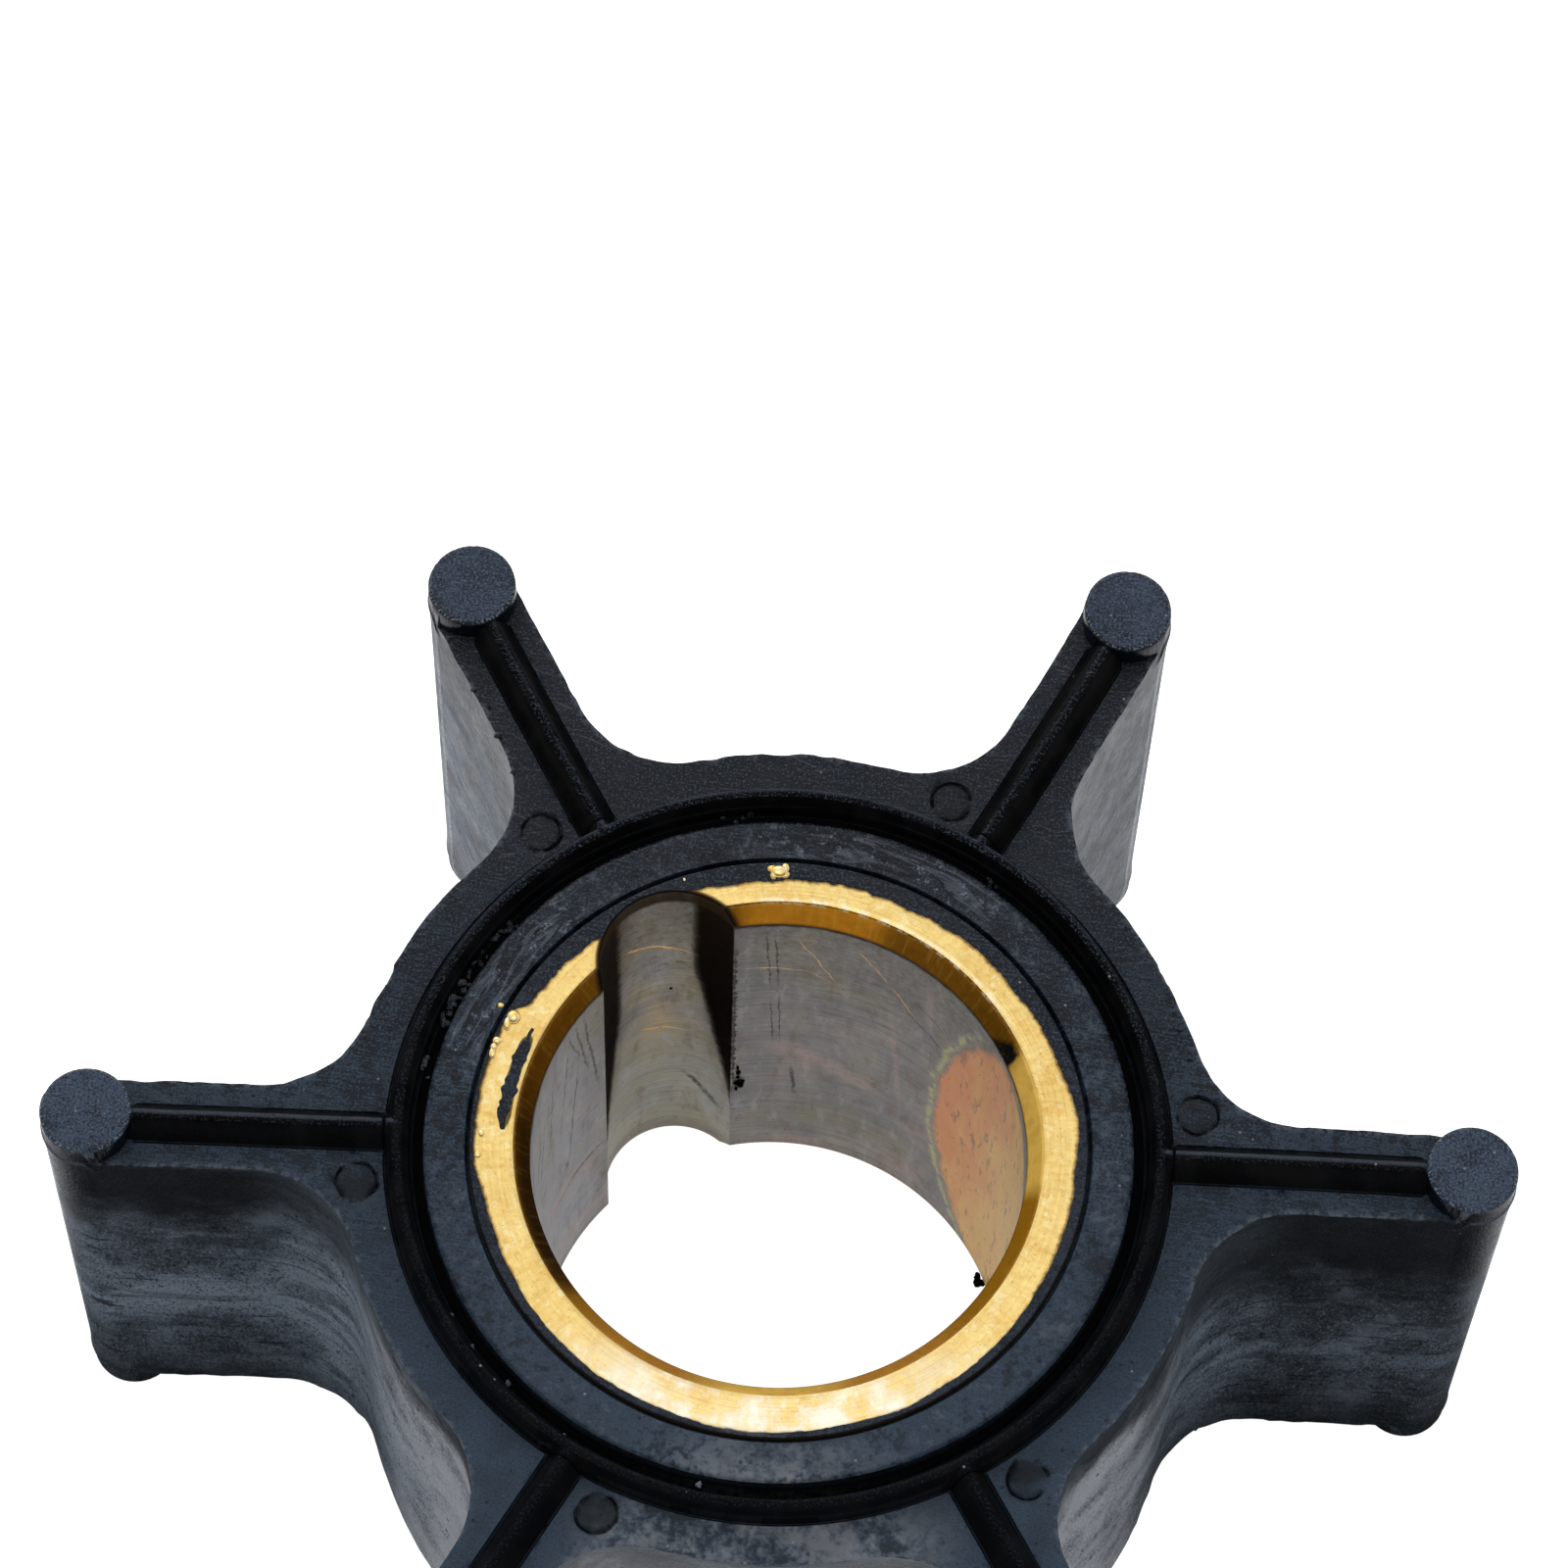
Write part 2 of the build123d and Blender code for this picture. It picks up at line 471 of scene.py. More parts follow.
def relief_tree(material):
    """Raises collar, beads and bulbs on both ends of a flat blank and presses pin marks into its upper end,
    by one rule for every vane.
    """
    tree = bpy.data.node_groups.new("moulded_relief", "GeometryNodeTree")
    sizes = {
        "Vanes": VANES,
        "Bead Height": BEAD_HEIGHT,
        "Ring Radius": RING_RADIUS,
        "Collar Radius": COLLAR_RADIUS,
        "Collar Stand": COLLAR_STAND,
        "Bulb Circle": BULB_CIRCLE,
        "Bulb Radius": BULB_RADIUS,
        "Bulb Stand": BULB_STAND,
        "Pin Circle": PIN_CIRCLE,
        "Pin Radius": PIN_RADIUS,
        "Unevenness": UNEVENNESS,
    }
    tree.interface.new_socket("Blank", in_out="INPUT", socket_type="NodeSocketGeometry")
    for name, value in sizes.items():
        tree.interface.new_socket(name, in_out="INPUT", socket_type="NodeSocketFloat").default_value = value
    tree.interface.new_socket("Moulding", in_out="OUTPUT", socket_type="NodeSocketGeometry")
    given = tree.nodes.new("NodeGroupInput")
    made = tree.nodes.new("NodeGroupOutput")

    def size(name):
        """One of the tree's named sizes."""
        return Term(tree, given.outputs[name])

    place = stored(tree, "mould", "FLOAT_VECTOR")
    lift = stored(tree, "lift")
    radius, _, along, across = round_the_vanes(place, math.tau / size("Vanes"))
    from_ring = (radius - size("Ring Radius")).size()

    uneven = (noise(tree, place, 0.35, 2.0) - 0.5) * size("Unevenness") * 2.0
    fine = (noise(tree, place, 1.6, 3.0) - 0.5) * size("Unevenness")
    height = size("Bead Height") + uneven * 2.0

    ring = bead((radius - size("Ring Radius") + uneven).size(), RING_HALF, RING_SLOPE, height, 0.5)
    rib = bead((across + uneven * 2.0).size(), RIB_HALF, RIB_SLOPE, height, 0.55)
    rib = rib * along.ramp(RING_RADIUS - 0.1, RING_RADIUS)
    beads = ring.math("SMOOTH_MAX", rib, 0.08)

    foot = from_ring.near(RING_HALF + 0.04, 0.07)
    rib_foot = across.size().near(RIB_HALF + 0.05, 0.07)
    rib_foot = rib_foot * along.ramp(RING_RADIUS + RING_HALF, RING_RADIUS + 0.7)
    crease = foot.most(rib_foot) * -0.06
    in_gap = radius.ramp(COLLAR_RADIUS, COLLAR_RADIUS + 0.1) * radius.fall(16.35, 16.5)
    gap = in_gap * -0.2

    collar = radius.ramp(size("Collar Radius") - 0.16, size("Collar Radius") - 0.03, 1.0, 0.86)
    collar = collar * radius.fall(size("Collar Radius") - 0.03, size("Collar Radius") + 0.03)
    collar = collar * size("Collar Stand") + (radius.fall(15.6, 15.8) * uneven)
    crack = radius.fall(BUSH_RADIUS + 0.04, BUSH_RADIUS + 0.2) * -0.4

    bulb_distance = hypotenuse(along - size("Bulb Circle"), across)
    wall = bulb_distance.fall(size("Bulb Radius") + 0.005, size("Bulb Radius") + 0.03)
    rim = (bulb_distance - (size("Bulb Radius") - BULB_RIM)).most(0.0).least(BULB_RIM)
    round_over = BULB_RIM - (BULB_RIM * BULB_RIM - rim * rim).most(0.0).root()
    bulb = wall * (size("Bulb Stand") - round_over + fine)

    pin_x = size("Pin Circle") * math.cos(PIN_TURN)
    pin_y = size("Pin Circle") * math.sin(PIN_TURN)
    wobble = (noise(tree, place, 1.3, 3.0) - 0.5) * 0.40
    pin_distance = hypotenuse(along - pin_x, across - pin_y) + wobble
    pin_ring = pin_distance.near(size("Pin Radius"), 0.14) * noise(tree, place, 0.9, 2.0).ramp(0.38, 0.55)
    pin = (pin_ring * -0.16 + pin_distance.fall(0.75, 0.9) * -0.03) * lift.ramp(0.5, 0.6)

    height = beads.math("SMOOTH_MAX", collar, 0.02).most(bulb) + crease + gap + crack + pin + fine
    move = vector_of(tree, 0.0, 0.0, height * lift * MM)

    flow = given.outputs["Blank"]
    on_ring = from_ring.fall(RING_HALF + 0.02, RING_HALF + 0.05)
    on_rib = across.size().fall(RIB_HALF + 0.02, RIB_HALF + 0.05) * along.ramp(RING_RADIUS, RING_RADIUS + 0.1)
    # marks for the finish: where painted shade goes in the creases and the gap, and which faces take the
    # shaded copy of the rubber on the beads
    notes = {
        "relief": height,
        "crease": foot.most(rib_foot * (1.0 - wall)).most(pin_ring * lift),
        "gap": gap * -5.0,
        "bead": on_ring.most(on_rib).most(gap * -5.0) * lift.ramp(0.4, 0.6) * (1.0 - wall),
    }
    for name, value in notes.items():
        note = tree.nodes.new("GeometryNodeStoreNamedAttribute")
        note.data_type = "FLOAT"
        note.domain = "POINT"
        note.inputs["Name"].default_value = name
        tree.links.new(flow, note.inputs["Geometry"])
        feed(tree, value, note.inputs["Value"])
        flow = note.outputs["Geometry"]
    placed = tree.nodes.new("GeometryNodeSetPosition")
    tree.links.new(flow, placed.inputs["Geometry"])
    feed(tree, move, placed.inputs["Offset"])
    whole = tree.nodes.new("GeometryNodeRealizeInstances")
    tree.links.new(placed.outputs["Geometry"], whole.inputs["Geometry"])
    coated = tree.nodes.new("GeometryNodeSetMaterial")
    coated.inputs["Material"].default_value = material
    tree.links.new(whole.outputs["Geometry"], coated.inputs["Geometry"])
    tree.links.new(coated.outputs["Geometry"], made.inputs["Moulding"])
    return tree, sizes


def grown(piece, tree, sizes):
    """Runs a tree on a piece with its sizes written in, and leaves a plain mesh."""
    modifier = piece.modifiers.new("growth", "NODES")
    modifier.node_group = tree
    for socket in tree.interface.items_tree:
        if socket.in_out == "INPUT" and socket.name in sizes:
            modifier[socket.identifier] = float(sizes[socket.name])
    graph = bpy.context.evaluated_depsgraph_get()
    finished = piece.evaluated_get(graph)
    mesh = bpy.data.meshes.new_from_object(finished, preserve_all_data_layers=True, depsgraph=graph)
    piece.modifiers.clear()
    piece.data = mesh
    return piece


# ---- wear of the moulding -----------------------------------------------------------------------

VANE_BEND = (-0.30, 0.63, -0.43, 0.10, 0.0, 0.0)        # degrees at the tip, by vane from +X round
BEND_START = 18
BEND_END = 31

# bites out of the upper rim of the hub: degrees round, mm deep
NICKS = ((28.9, 0.22), (27.4, 0.16), (157.5, 0.20), (156.2, 0.12), (86.0, 0.10), (101.0, 0.10), (163.0, 0.1))
NICK_HALF = 0.9


def random_line(count, cell, seed, peaks=1.0):
    """Smooth random numbers from -1 to 1 round a closed line, one fresh value every few points."""
    rng = np.random.default_rng(seed)
    knots = max(4, round(count / cell))
    values = rng.uniform(-1, 1, knots)
    values = np.sign(values) * np.abs(values) ** peaks
    where = np.arange(count) * knots / count
    low = np.floor(where).astype(int)
    share = where - low
    share = share * share * (3 - 2 * share)
    return values[low % knots] * (1 - share) + values[(low + 1) % knots] * share


def bent(points):
    """Bends each vane a little off its true direction, more towards the tip."""
    x, y = points[:, 0], points[:, 1]
    radius = np.hypot(x, y)
    angle = np.arctan2(y, x)
    vane = np.round(angle / VANE_STEP).astype(int) % VANES
    share = np.clip((radius - BEND_START) / (BEND_END - BEND_START), 0, 1.1) ** 1.3
    angle = angle + np.radians(np.array(VANE_BEND)[vane]) * share
    return np.column_stack((radius * np.cos(angle), radius * np.sin(angle), points[:, 2]))


def ragged(points, outline, rims):
    """Moves the rim of each end face in and out, as trimmed flash does, fading out down the wall."""
    count = len(outline)
    tangent = np.roll(outline, -1, axis=0) - np.roll(outline, 1, axis=0)
    outward = np.column_stack((tangent[:, 1], -tangent[:, 0]))
    outward /= np.linalg.norm(outward, axis=1)[:, None]
    radius = np.hypot(outline[:, 0], outline[:, 1])
    angle = np.degrees(np.arctan2(outline[:, 1], outline[:, 0]))
    for rows, seed in rims:
        swing = random_line(count, 5, seed) * 0.030 + random_line(count, 1.6, seed + 1, 2.0) * 0.035
        swing += random_line(count, 22, seed + 2) * 0.045
        swing -= np.clip(random_line(count, 3, seed + 3, 4.0), 0, 1) * 0.10
        swing = swing * np.where(radius > BULB_CIRCLE, 0.35, 1.0)
        if seed == UPPER_SEED:
            for turn, bite in NICKS:
                near = np.clip(1 - np.abs((angle - turn + 180) % 360 - 180) / NICK_HALF, 0, 1)
                swing -= near * bite * (radius < HUB_RADIUS + 0.3)
        for row, depth in zip(rows, RIM_DEPTHS):
            points[row, :2] += outward * (swing * math.exp(-depth / 0.16))[:, None]
    return points


def with_parting(points, outline, partings):
    """Raises the thin ridge that the mould leaves round each bulb, level with the vane's face."""
    tip = np.round(np.arctan2(outline[:, 1], outline[:, 0]) / VANE_STEP) * VANE_STEP
    centre = BULB_CIRCLE * np.column_stack((np.cos(tip), np.sin(tip)))
    away = outline - centre
    distance = np.hypot(away[:, 0], away[:, 1])
    share = np.clip((BULB_RADIUS + 0.12 - distance) / 0.1, 0, 1)
    for row, stand in partings:
        points[row, :2] += away / distance[:, None] * (share * stand)[:, None]
    return points


# ---- finishes -----------------------------------------------------------------------------------

def finish_tree(name):
    """A new material, its tree and its shader."""
    material = bpy.data.materials.new(name)
    material.use_nodes = True
    tree = material.node_tree
    shader = tree.nodes["Principled BSDF"]
    return material, tree, shader


def millimetres(tree):
    """The place on the finished piece, in millimetres."""
    node = tree.nodes.new("ShaderNodeTexCoord")
    return Term(tree, node.outputs["Object"]).scaled(1 / MM, 1 / MM, 1 / MM)


def blend(tree, share, first, second):
    """A colour between two others; each is a term or three linear numbers."""
    node = tree.nodes.new("ShaderNodeMix")
    node.data_type = "RGBA"
    node.clamp_factor = True
    feed(tree, share, node.inputs[0])
    for colour, socket in ((first, node.inputs[6]), (second, node.inputs[7])):
        feed(tree, colour if isinstance(colour, Term) else (*colour, 1), socket)
    return Term(tree, node.outputs[2])


class Coat:
    """A colour built up in layers."""

    def __init__(self, tree, colour):
        self.tree = tree
        self.colour = colour

    def lay(self, share, colour):
        """Covers the coat with another colour, as far as the share says at each place."""
        self.colour = blend(self.tree, share, self.colour, colour)


def laid(tree, place, turn=0.0, scale=(1, 1, 1), shift=(0, 0, 0)):
    """A pattern's own coordinates: shifted, turned about the bore, then stretched."""
    node = tree.nodes.new("ShaderNodeMapping")
    node.vector_type = "POINT"
    feed(tree, place, node.inputs["Vector"])
    node.inputs["Location"].default_value = shift
    node.inputs["Rotation"].default_value = (0, 0, math.radians(turn))
    turned_place = Term(tree, node.outputs[0])
    return turned_place.scaled(*scale)


def specks(tree, place, scale, size, share):
    """Round specks in a share of the cells of a grid with so many cells a millimetre."""
    node = tree.nodes.new("ShaderNodeTexVoronoi")
    feed(tree, place, node.inputs["Vector"])
    node.inputs["Scale"].default_value = scale
    distance = Term(tree, node.outputs["Distance"])
    chance = Term(tree, node.outputs["Color"]).parts()[0]
    return distance.fall(size * 0.5, size) * chance.ramp(1 - share, 1 - share + 0.02)


def hairlines(tree, place, turn, length, width, low, high):
    """Fine straight scratches that run one way; length and width in millimetres."""
    grain = laid(tree, place, turn, (1 / length, 1 / width, 1 / width))
    return noise(tree, grain, 1.0, 1.0, 0.4).ramp(low, high)


def stroke(tree, spot, start, end, width):
    """One scratch between two places, tapering out at its ends."""
    reach = math.dist(start, end)
    node = tree.nodes.new("ShaderNodeMapping")
    node.vector_type = "TEXTURE"
    node.inputs["Location"].default_value = ((start[0] + end[0]) / 2, (start[1] + end[1]) / 2, 0)
    node.inputs["Rotation"].default_value = (0, 0, math.atan2(end[1] - start[1], end[0] - start[0]))
    feed(tree, spot, node.inputs["Vector"])
    ahead, aside, _ = Term(tree, node.outputs[0]).parts()
    ends = ahead.size().fall(reach * 0.2, reach * 0.5 + width)
    return aside.size().fall(width * 0.35, width) * ends


def bumped(tree, shader, height, strength=1.0):
    """Fine relief in the shading; height in millimetres."""
    node = tree.nodes.new("ShaderNodeBump")
    node.inputs["Strength"].default_value = strength
    node.inputs["Distance"].default_value = MM
    feed(tree, height, node.inputs["Height"])
    tree.links.new(node.outputs["Normal"], shader.inputs["Normal"])


RUBBER_DARK = (0.0004, 0.0030, 0.0085)
RUBBER_PALE = (0.0400, 0.0690, 0.1030)
WALL_DARK = (0.0012, 0.0030, 0.0048)
WALL_PALE = (0.255, 0.300, 0.345)
# pale grey of the lower hub walls: bloom with painted sheen
HUB_WALL_BLOOM_AND_SHEEN = (0.50, 0.51, 0.52)
CAP_GREY = (0.058, 0.080, 0.120)
# painted highlight on the crest of the beads
CREST_HIGHLIGHT_GREY = (0.052, 0.060, 0.074)
DUST_DARK = (0.012, 0.014, 0.018)
DUST_PALE = (0.150, 0.160, 0.170)
FILM_DARK = (0.0010, 0.0050, 0.0120)
FILM_PALE = (0.0300, 0.0420, 0.0620)
RUBBER_IOR = 1.29
# a darker copy of the rubber for the beads, with a weaker reflection: painted shade
BEAD_SHADED_DARK = (0.0004, 0.0005, 0.0008)
BEAD_SHADED_PALE = (0.0020, 0.0024, 0.0032)
BEAD_IOR = 1.07
# pale grey for real bloom, grain, scuffs and worn edges, and for painted highlights on the cap ridges and
# beside the collar's folds
BLOOM_AND_HIGHLIGHT_GREY = (0.135, 0.148, 0.170)
SAND_GREY = (0.240, 0.280, 0.320)
GRAIN_GREY = (0.100, 0.120, 0.150)
# painted sheen near the front of the hub face, and the darker blotches in it
SHEEN_GREY = (0.270, 0.280, 0.295)
SHEEN_DARK_BROWN = (0.014, 0.013, 0.014)
# white for dust and scratches, and for painted glints on the rims of the caps
DUST_AND_GLINT_WHITE = (0.42, 0.42, 0.40)
FLECK_GREY = (0.20, 0.23, 0.26)
# black for pits, scratches and marks, and for painted shade in the grooves, in the collar's folds and under
# the caps
SHADE_AND_MARK_BLACK = (0.001, 0.001, 0.001)
WARM_BLACK = (0.014, 0.013, 0.012)


class Moulded:
    """What every part of a rubber finish is worked out from: places, the shape's own notes and the noises."""

    def __init__(self, tree):
        self.tree = tree
        self.place = stored(tree, "mould", "FLOAT_VECTOR")
        self.x, self.y, self.z = self.place.parts()
        self.radius, self.angle, self.along, self.across = round_the_vanes(self.place, VANE_STEP)
        facing = tree.nodes.new("ShaderNodeTexCoord")
        _, self.turned_y, self.turned_z = Term(tree, facing.outputs["Normal"]).parts()
        upright = self.turned_z.size()
        self.face = upright.ramp(0.75, 0.95)
        self.side = upright.fall(0.12, 0.3)
        self.far = self.y.ramp(-6.0, 14.0)
        self.relief = stored(tree, "relief")
        self.cloud = noise(tree, self.place, 0.45, 2.0, 0.6)
        self.bloom_cloud = noise(tree, self.place, 0.30, 3.0, 0.6)
        self.mottle = noise(tree, self.place, 2.6, 2.0, 0.65)
        self.grain = noise(tree, self.place, 9.0, 1.0, 0.6)
        self.tall = self.place.scaled(1, 1, 0.5)
        self.sandy = noise(tree, self.tall, 8.5, 2.0, 0.7)
        # the right-hand walls take painted shade: their pale starts lower down and is weaker
        self.right_wall = self.x.ramp(7.0, 19.0)
        down = HIGH_FACE - self.z + (self.bloom_cloud - 0.5) * 7.0 - self.right_wall * 2.0
        self.below = down.least(self.z - LOW_FACE + 6.0)
        self.opened = self.below.ramp(3.0, 11.0)
        self.from_tip = hypotenuse(self.along - BULB_CIRCLE, self.across)
        self.cap = self.from_tip.fall(BULB_RADIUS - 0.05, BULB_RADIUS + 0.05) * self.face
        self.dust = specks(tree, self.place, 1.5, 0.12, 0.20) * (self.face * 0.8 + self.side * 0.4)


def coat_faces(rubber, dark, pale):
    """The end faces: cloudy grey, darker with painted shade and brushed on the far side, and paler with a
    painted sheen on the near one, mottled in a patch near the front.
    """
    tree, y, far, face = rubber.tree, rubber.y, rubber.far, rubber.face
    cloud, mottle, grain = rubber.cloud, rubber.mottle, rubber.grain
    brushed = noise(tree, laid(tree, rubber.place, 8, (0.7, 11.0, 1.0)), 1.0, 1.0, 0.6)
    grey = cloud.ramp(0.35, 0.65) * 0.30 + mottle.ramp(0.3, 0.7) * 0.30 + grain.ramp(0.3, 0.7) * 0.20
    grey = (grey + brushed.ramp(0.35, 0.65) * 0.20).ramp(0.28, 0.72)
    coat = Coat(tree, blend(tree, grey, dark, pale))
    # painted shade: darker towards the far side
    coat.lay(y.ramp(-1.0, 18.0) * 0.86, dark)
    # painted sheen: paler towards the near side, less so on the film over the bush
    coat.lay(y.ramp(-19.0, 6.0, 0.95, 0.0) * rubber.radius.ramp(13.7, 13.9, 0.15, 1.0), pale)
    coat.lay(grain.ramp(0.55, 0.64) * face * (far * 0.40 + 0.12), GRAIN_GREY)
    coat.lay(grain.ramp(0.47, 0.38) * face * (far * 0.50 + 0.30), SHADE_AND_MARK_BLACK)
    coat.lay(brushed.ramp(0.60, 0.70) * face * far * 0.24, GRAIN_GREY)
    coat.lay(brushed.ramp(0.42, 0.36) * face * far * 0.50, SHADE_AND_MARK_BLACK)

    # painted sheen: a mottled patch near the front of the hub face, pale grey with darker brown blotches,
    # kept off the beads
    near_x = rubber.x * (1 / 9.5)
    near_y = (y + 19.3) * (1 / 6.5)
    near_sheen = hypotenuse(near_x, near_y).fall(0.15, 1.1)
    on_bead = rubber.relief.ramp(0.7, 0.95)
    near_sheen = near_sheen * face * (1.0 - on_bead)
    patch = mottle * 0.45 + cloud * 0.5 + rubber.bloom_cloud * 0.55
    coat.lay((near_sheen * 2.2).kept() * patch.ramp(0.76, 0.60) * 0.7, SHEEN_DARK_BROWN)
    coat.lay((near_sheen * 1.7).kept() * patch.ramp(0.66, 0.90), SHEEN_GREY)
    coat.lay(cloud.ramp(0.4, 0.65, 0.15, 0.40), WARM_BLACK)
    return coat


def coat_walls(rubber):
    """The walls: dark and smooth under the upper edge with painted shade, then a pale bloom full of fine dark
    pits that is partly painted light, paler low down and by the roots, with painted shade on the right-hand
    walls and a painted sheen on the lower hub walls.
    """
    tree, place, radius, opened = rubber.tree, rubber.place, rubber.radius, rubber.opened
    bloom_cloud, mottle, sandy, far = rubber.bloom_cloud, rubber.mottle, rubber.sandy, rubber.far
    rooted = radius.fall(19.0, 25.0)
    low = rubber.below.ramp(11.0, 20.0)
    # how pale the wall is: painted shade under the upper edge and on the right-hand walls, paler low down and
    # near the roots, mixed with the real bloom
    bloom_and_shading = opened * 0.52 + low * 0.85 + rooted * (opened * 0.7 + 0.3) * 0.80
    bloom_and_shading = bloom_and_shading * (1.0 - rubber.right_wall * (far * 0.35 + 0.45))
    patchy = bloom_cloud.ramp(0.34, 0.66) * 0.50 + mottle.ramp(0.35, 0.7) * 0.15
    patchy = patchy + sandy.ramp(0.30, 0.70) * 0.35 + 0.22
    coat = Coat(tree, blend(tree, (bloom_and_shading * patchy).kept(), WALL_DARK, WALL_PALE))
    coat.lay(sandy.ramp(0.48, 0.36) * opened * 0.62, WALL_DARK)
    coat.lay(sandy.ramp(0.58, 0.70) * opened * 0.50, SAND_GREY)
    coat.lay(bloom_cloud.ramp(0.50, 0.64) * far * opened * 0.30, SAND_GREY)
    coat.lay(bloom_cloud.ramp(0.50, 0.34) * far * 0.50, WALL_DARK)
    smear_place = laid(tree, place, 0, (0.16, 0.16, 0.6), (3, 1, 5))
    coat.lay(noise(tree, smear_place, 1.0, 2.0, 0.6, 0.8).ramp(0.54, 0.62) * 0.38, WALL_DARK)
    dash_place = laid(tree, place, 4, (0.35, 0.35, 2.6), (7, 2, 1))
    coat.lay(noise(tree, dash_place, 1.0, 1.0, 0.5).ramp(0.68, 0.73) * opened * 0.8, SHADE_AND_MARK_BLACK)
    rubber.bloom = bloom_cloud.ramp(0.56, 0.70) * rubber.side * opened
    coat.lay(rubber.bloom * 0.40, BLOOM_AND_HIGHLIGHT_GREY)
    # pale grey low on the hub walls near the front: patchy bloom, with a painted sheen that stands in for
    # their reflection of the floor
    bloom_and_sheen = radius.fall(19.5, 26.5) * rubber.y.fall(-16.0, -4.0) * rubber.x.size().ramp(5.0, 10.0)
    bloom_and_sheen = bloom_and_sheen * (bloom_cloud.ramp(0.3, 0.65) * 0.80 + sandy.ramp(0.30, 0.62) * 0.80)
    coat.lay((bloom_and_sheen * rubber.below.ramp(0.5, 5.0)).kept(), HUB_WALL_BLOOM_AND_SHEEN)
    return coat.colour


def lay_crests_and_caps(rubber, coat, dark):
    """The painted highlight on the crest of the beads, the caps of the bulbs with painted glints on their
    rim, and the ridge with its painted highlight and the painted shadow under each cap.
    """
    cloud, mottle, grain = rubber.cloud, rubber.mottle, rubber.grain
    relief, from_tip = rubber.relief, rubber.from_tip
    # painted highlight: the crest of each bead paler where its normal leans up and back, fading towards the
    # near side
    crest = (rubber.turned_y * 0.42 + rubber.turned_z * 0.91).ramp(0.90, 1.0)
    crest = crest * relief.ramp(0.6, 1.1) * relief.fall(1.22, 1.26) * rubber.y.ramp(-11.0, 1.0, 0.12, 1.0)
    crest = crest * (0.30 + mottle * 0.5 + cloud * 0.5 + grain.ramp(0.48, 0.65) * 0.4)
    coat.lay(crest.kept(), CREST_HIGHLIGHT_GREY)
    cap_grey = cloud.ramp(0.35, 0.65) * 0.30 + mottle.ramp(0.32, 0.68) * 0.30
    cap_grey = cap_grey + grain.ramp(0.35, 0.65) * 0.25 + 0.10
    coat.lay(rubber.cap * cap_grey, CAP_GREY)
    coat.lay(rubber.cap * grain.ramp(0.56, 0.66) * 0.45, BLOOM_AND_HIGHLIGHT_GREY)
    coat.lay(rubber.cap * grain.ramp(0.44, 0.34) * 0.6, dark)
    level = millimetres(rubber.tree).parts()[2]
    # painted glints: pale specks along the rounded rim of each cap
    rim = from_tip.near(BULB_RADIUS - 0.05, 0.13) * grain.ramp(0.52, 0.60)
    rim = rim * level.ramp(HIGH_FACE + 1.25, HIGH_FACE + 1.33)
    coat.lay(rim * 0.45, DUST_AND_GLINT_WHITE)
    # painted shadow in a line under each cap's overhang, and a painted highlight on the ridge below it
    under_cap = from_tip.fall(BULB_RADIUS + 0.12, BULB_RADIUS + 0.2) * rubber.side
    under_line = level.near(HIGH_FACE + 0.28, 0.20) * under_cap
    ridge_light = level.near(HIGH_FACE + 0.03, 0.07) * under_cap * grain.ramp(0.42, 0.58)
    coat.lay((under_line * 1.5).kept() * 0.9, SHADE_AND_MARK_BLACK)
    coat.lay(ridge_light * 0.35, BLOOM_AND_HIGHLIGHT_GREY)


def lay_collar_wear(rubber, coat):
    """Scuffs on the collar, and two stretches of it that are wrinkled, drawn with painted shade along each
    fold and a painted highlight beside it.
    """
    radius, mottle, grain = rubber.radius, rubber.mottle, rubber.grain
    on_collar = radius.ramp(13.9, 14.1) * radius.fall(15.8, 16.0) * rubber.face
    scuffed = mottle * 0.6 + rubber.cloud * 0.5
    coat.lay(on_collar * scuffed.ramp(0.52, 0.40) * 0.6, SHADE_AND_MARK_BLACK)
    coat.lay(on_collar * scuffed.ramp(0.58, 0.76) * 0.45, BLOOM_AND_HIGHLIGHT_GREY)
    degrees = rubber.angle * math.degrees(1)
    wrinkled = degrees.within(148.0, 12.0, 24.0).most(degrees.within(72.0, 14.0, 26.0))
    wrinkled = wrinkled * radius.ramp(14.0, 14.3) * radius.fall(15.5, 15.8)
    fold_place = vector_of(rubber.tree, rubber.angle * 4.5, radius * 1.9, 0.0)
    folds = noise(rubber.tree, fold_place, 1.0, 3.0, 0.55, 0.8)
    # painted shade along each fold, and a painted highlight beside it
    coat.lay(folds.within(0.5, 0.0, 0.045) * wrinkled * 0.8, SHADE_AND_MARK_BLACK)
    coat.lay(folds.ramp(0.52, 0.60) * folds.fall(0.60, 0.68) * wrinkled * 0.45, BLOOM_AND_HIGHLIGHT_GREY)
    coat.lay(mottle.ramp(0.58, 0.66) * grain.ramp(0.45, 0.58) * wrinkled * 0.7, FLECK_GREY)


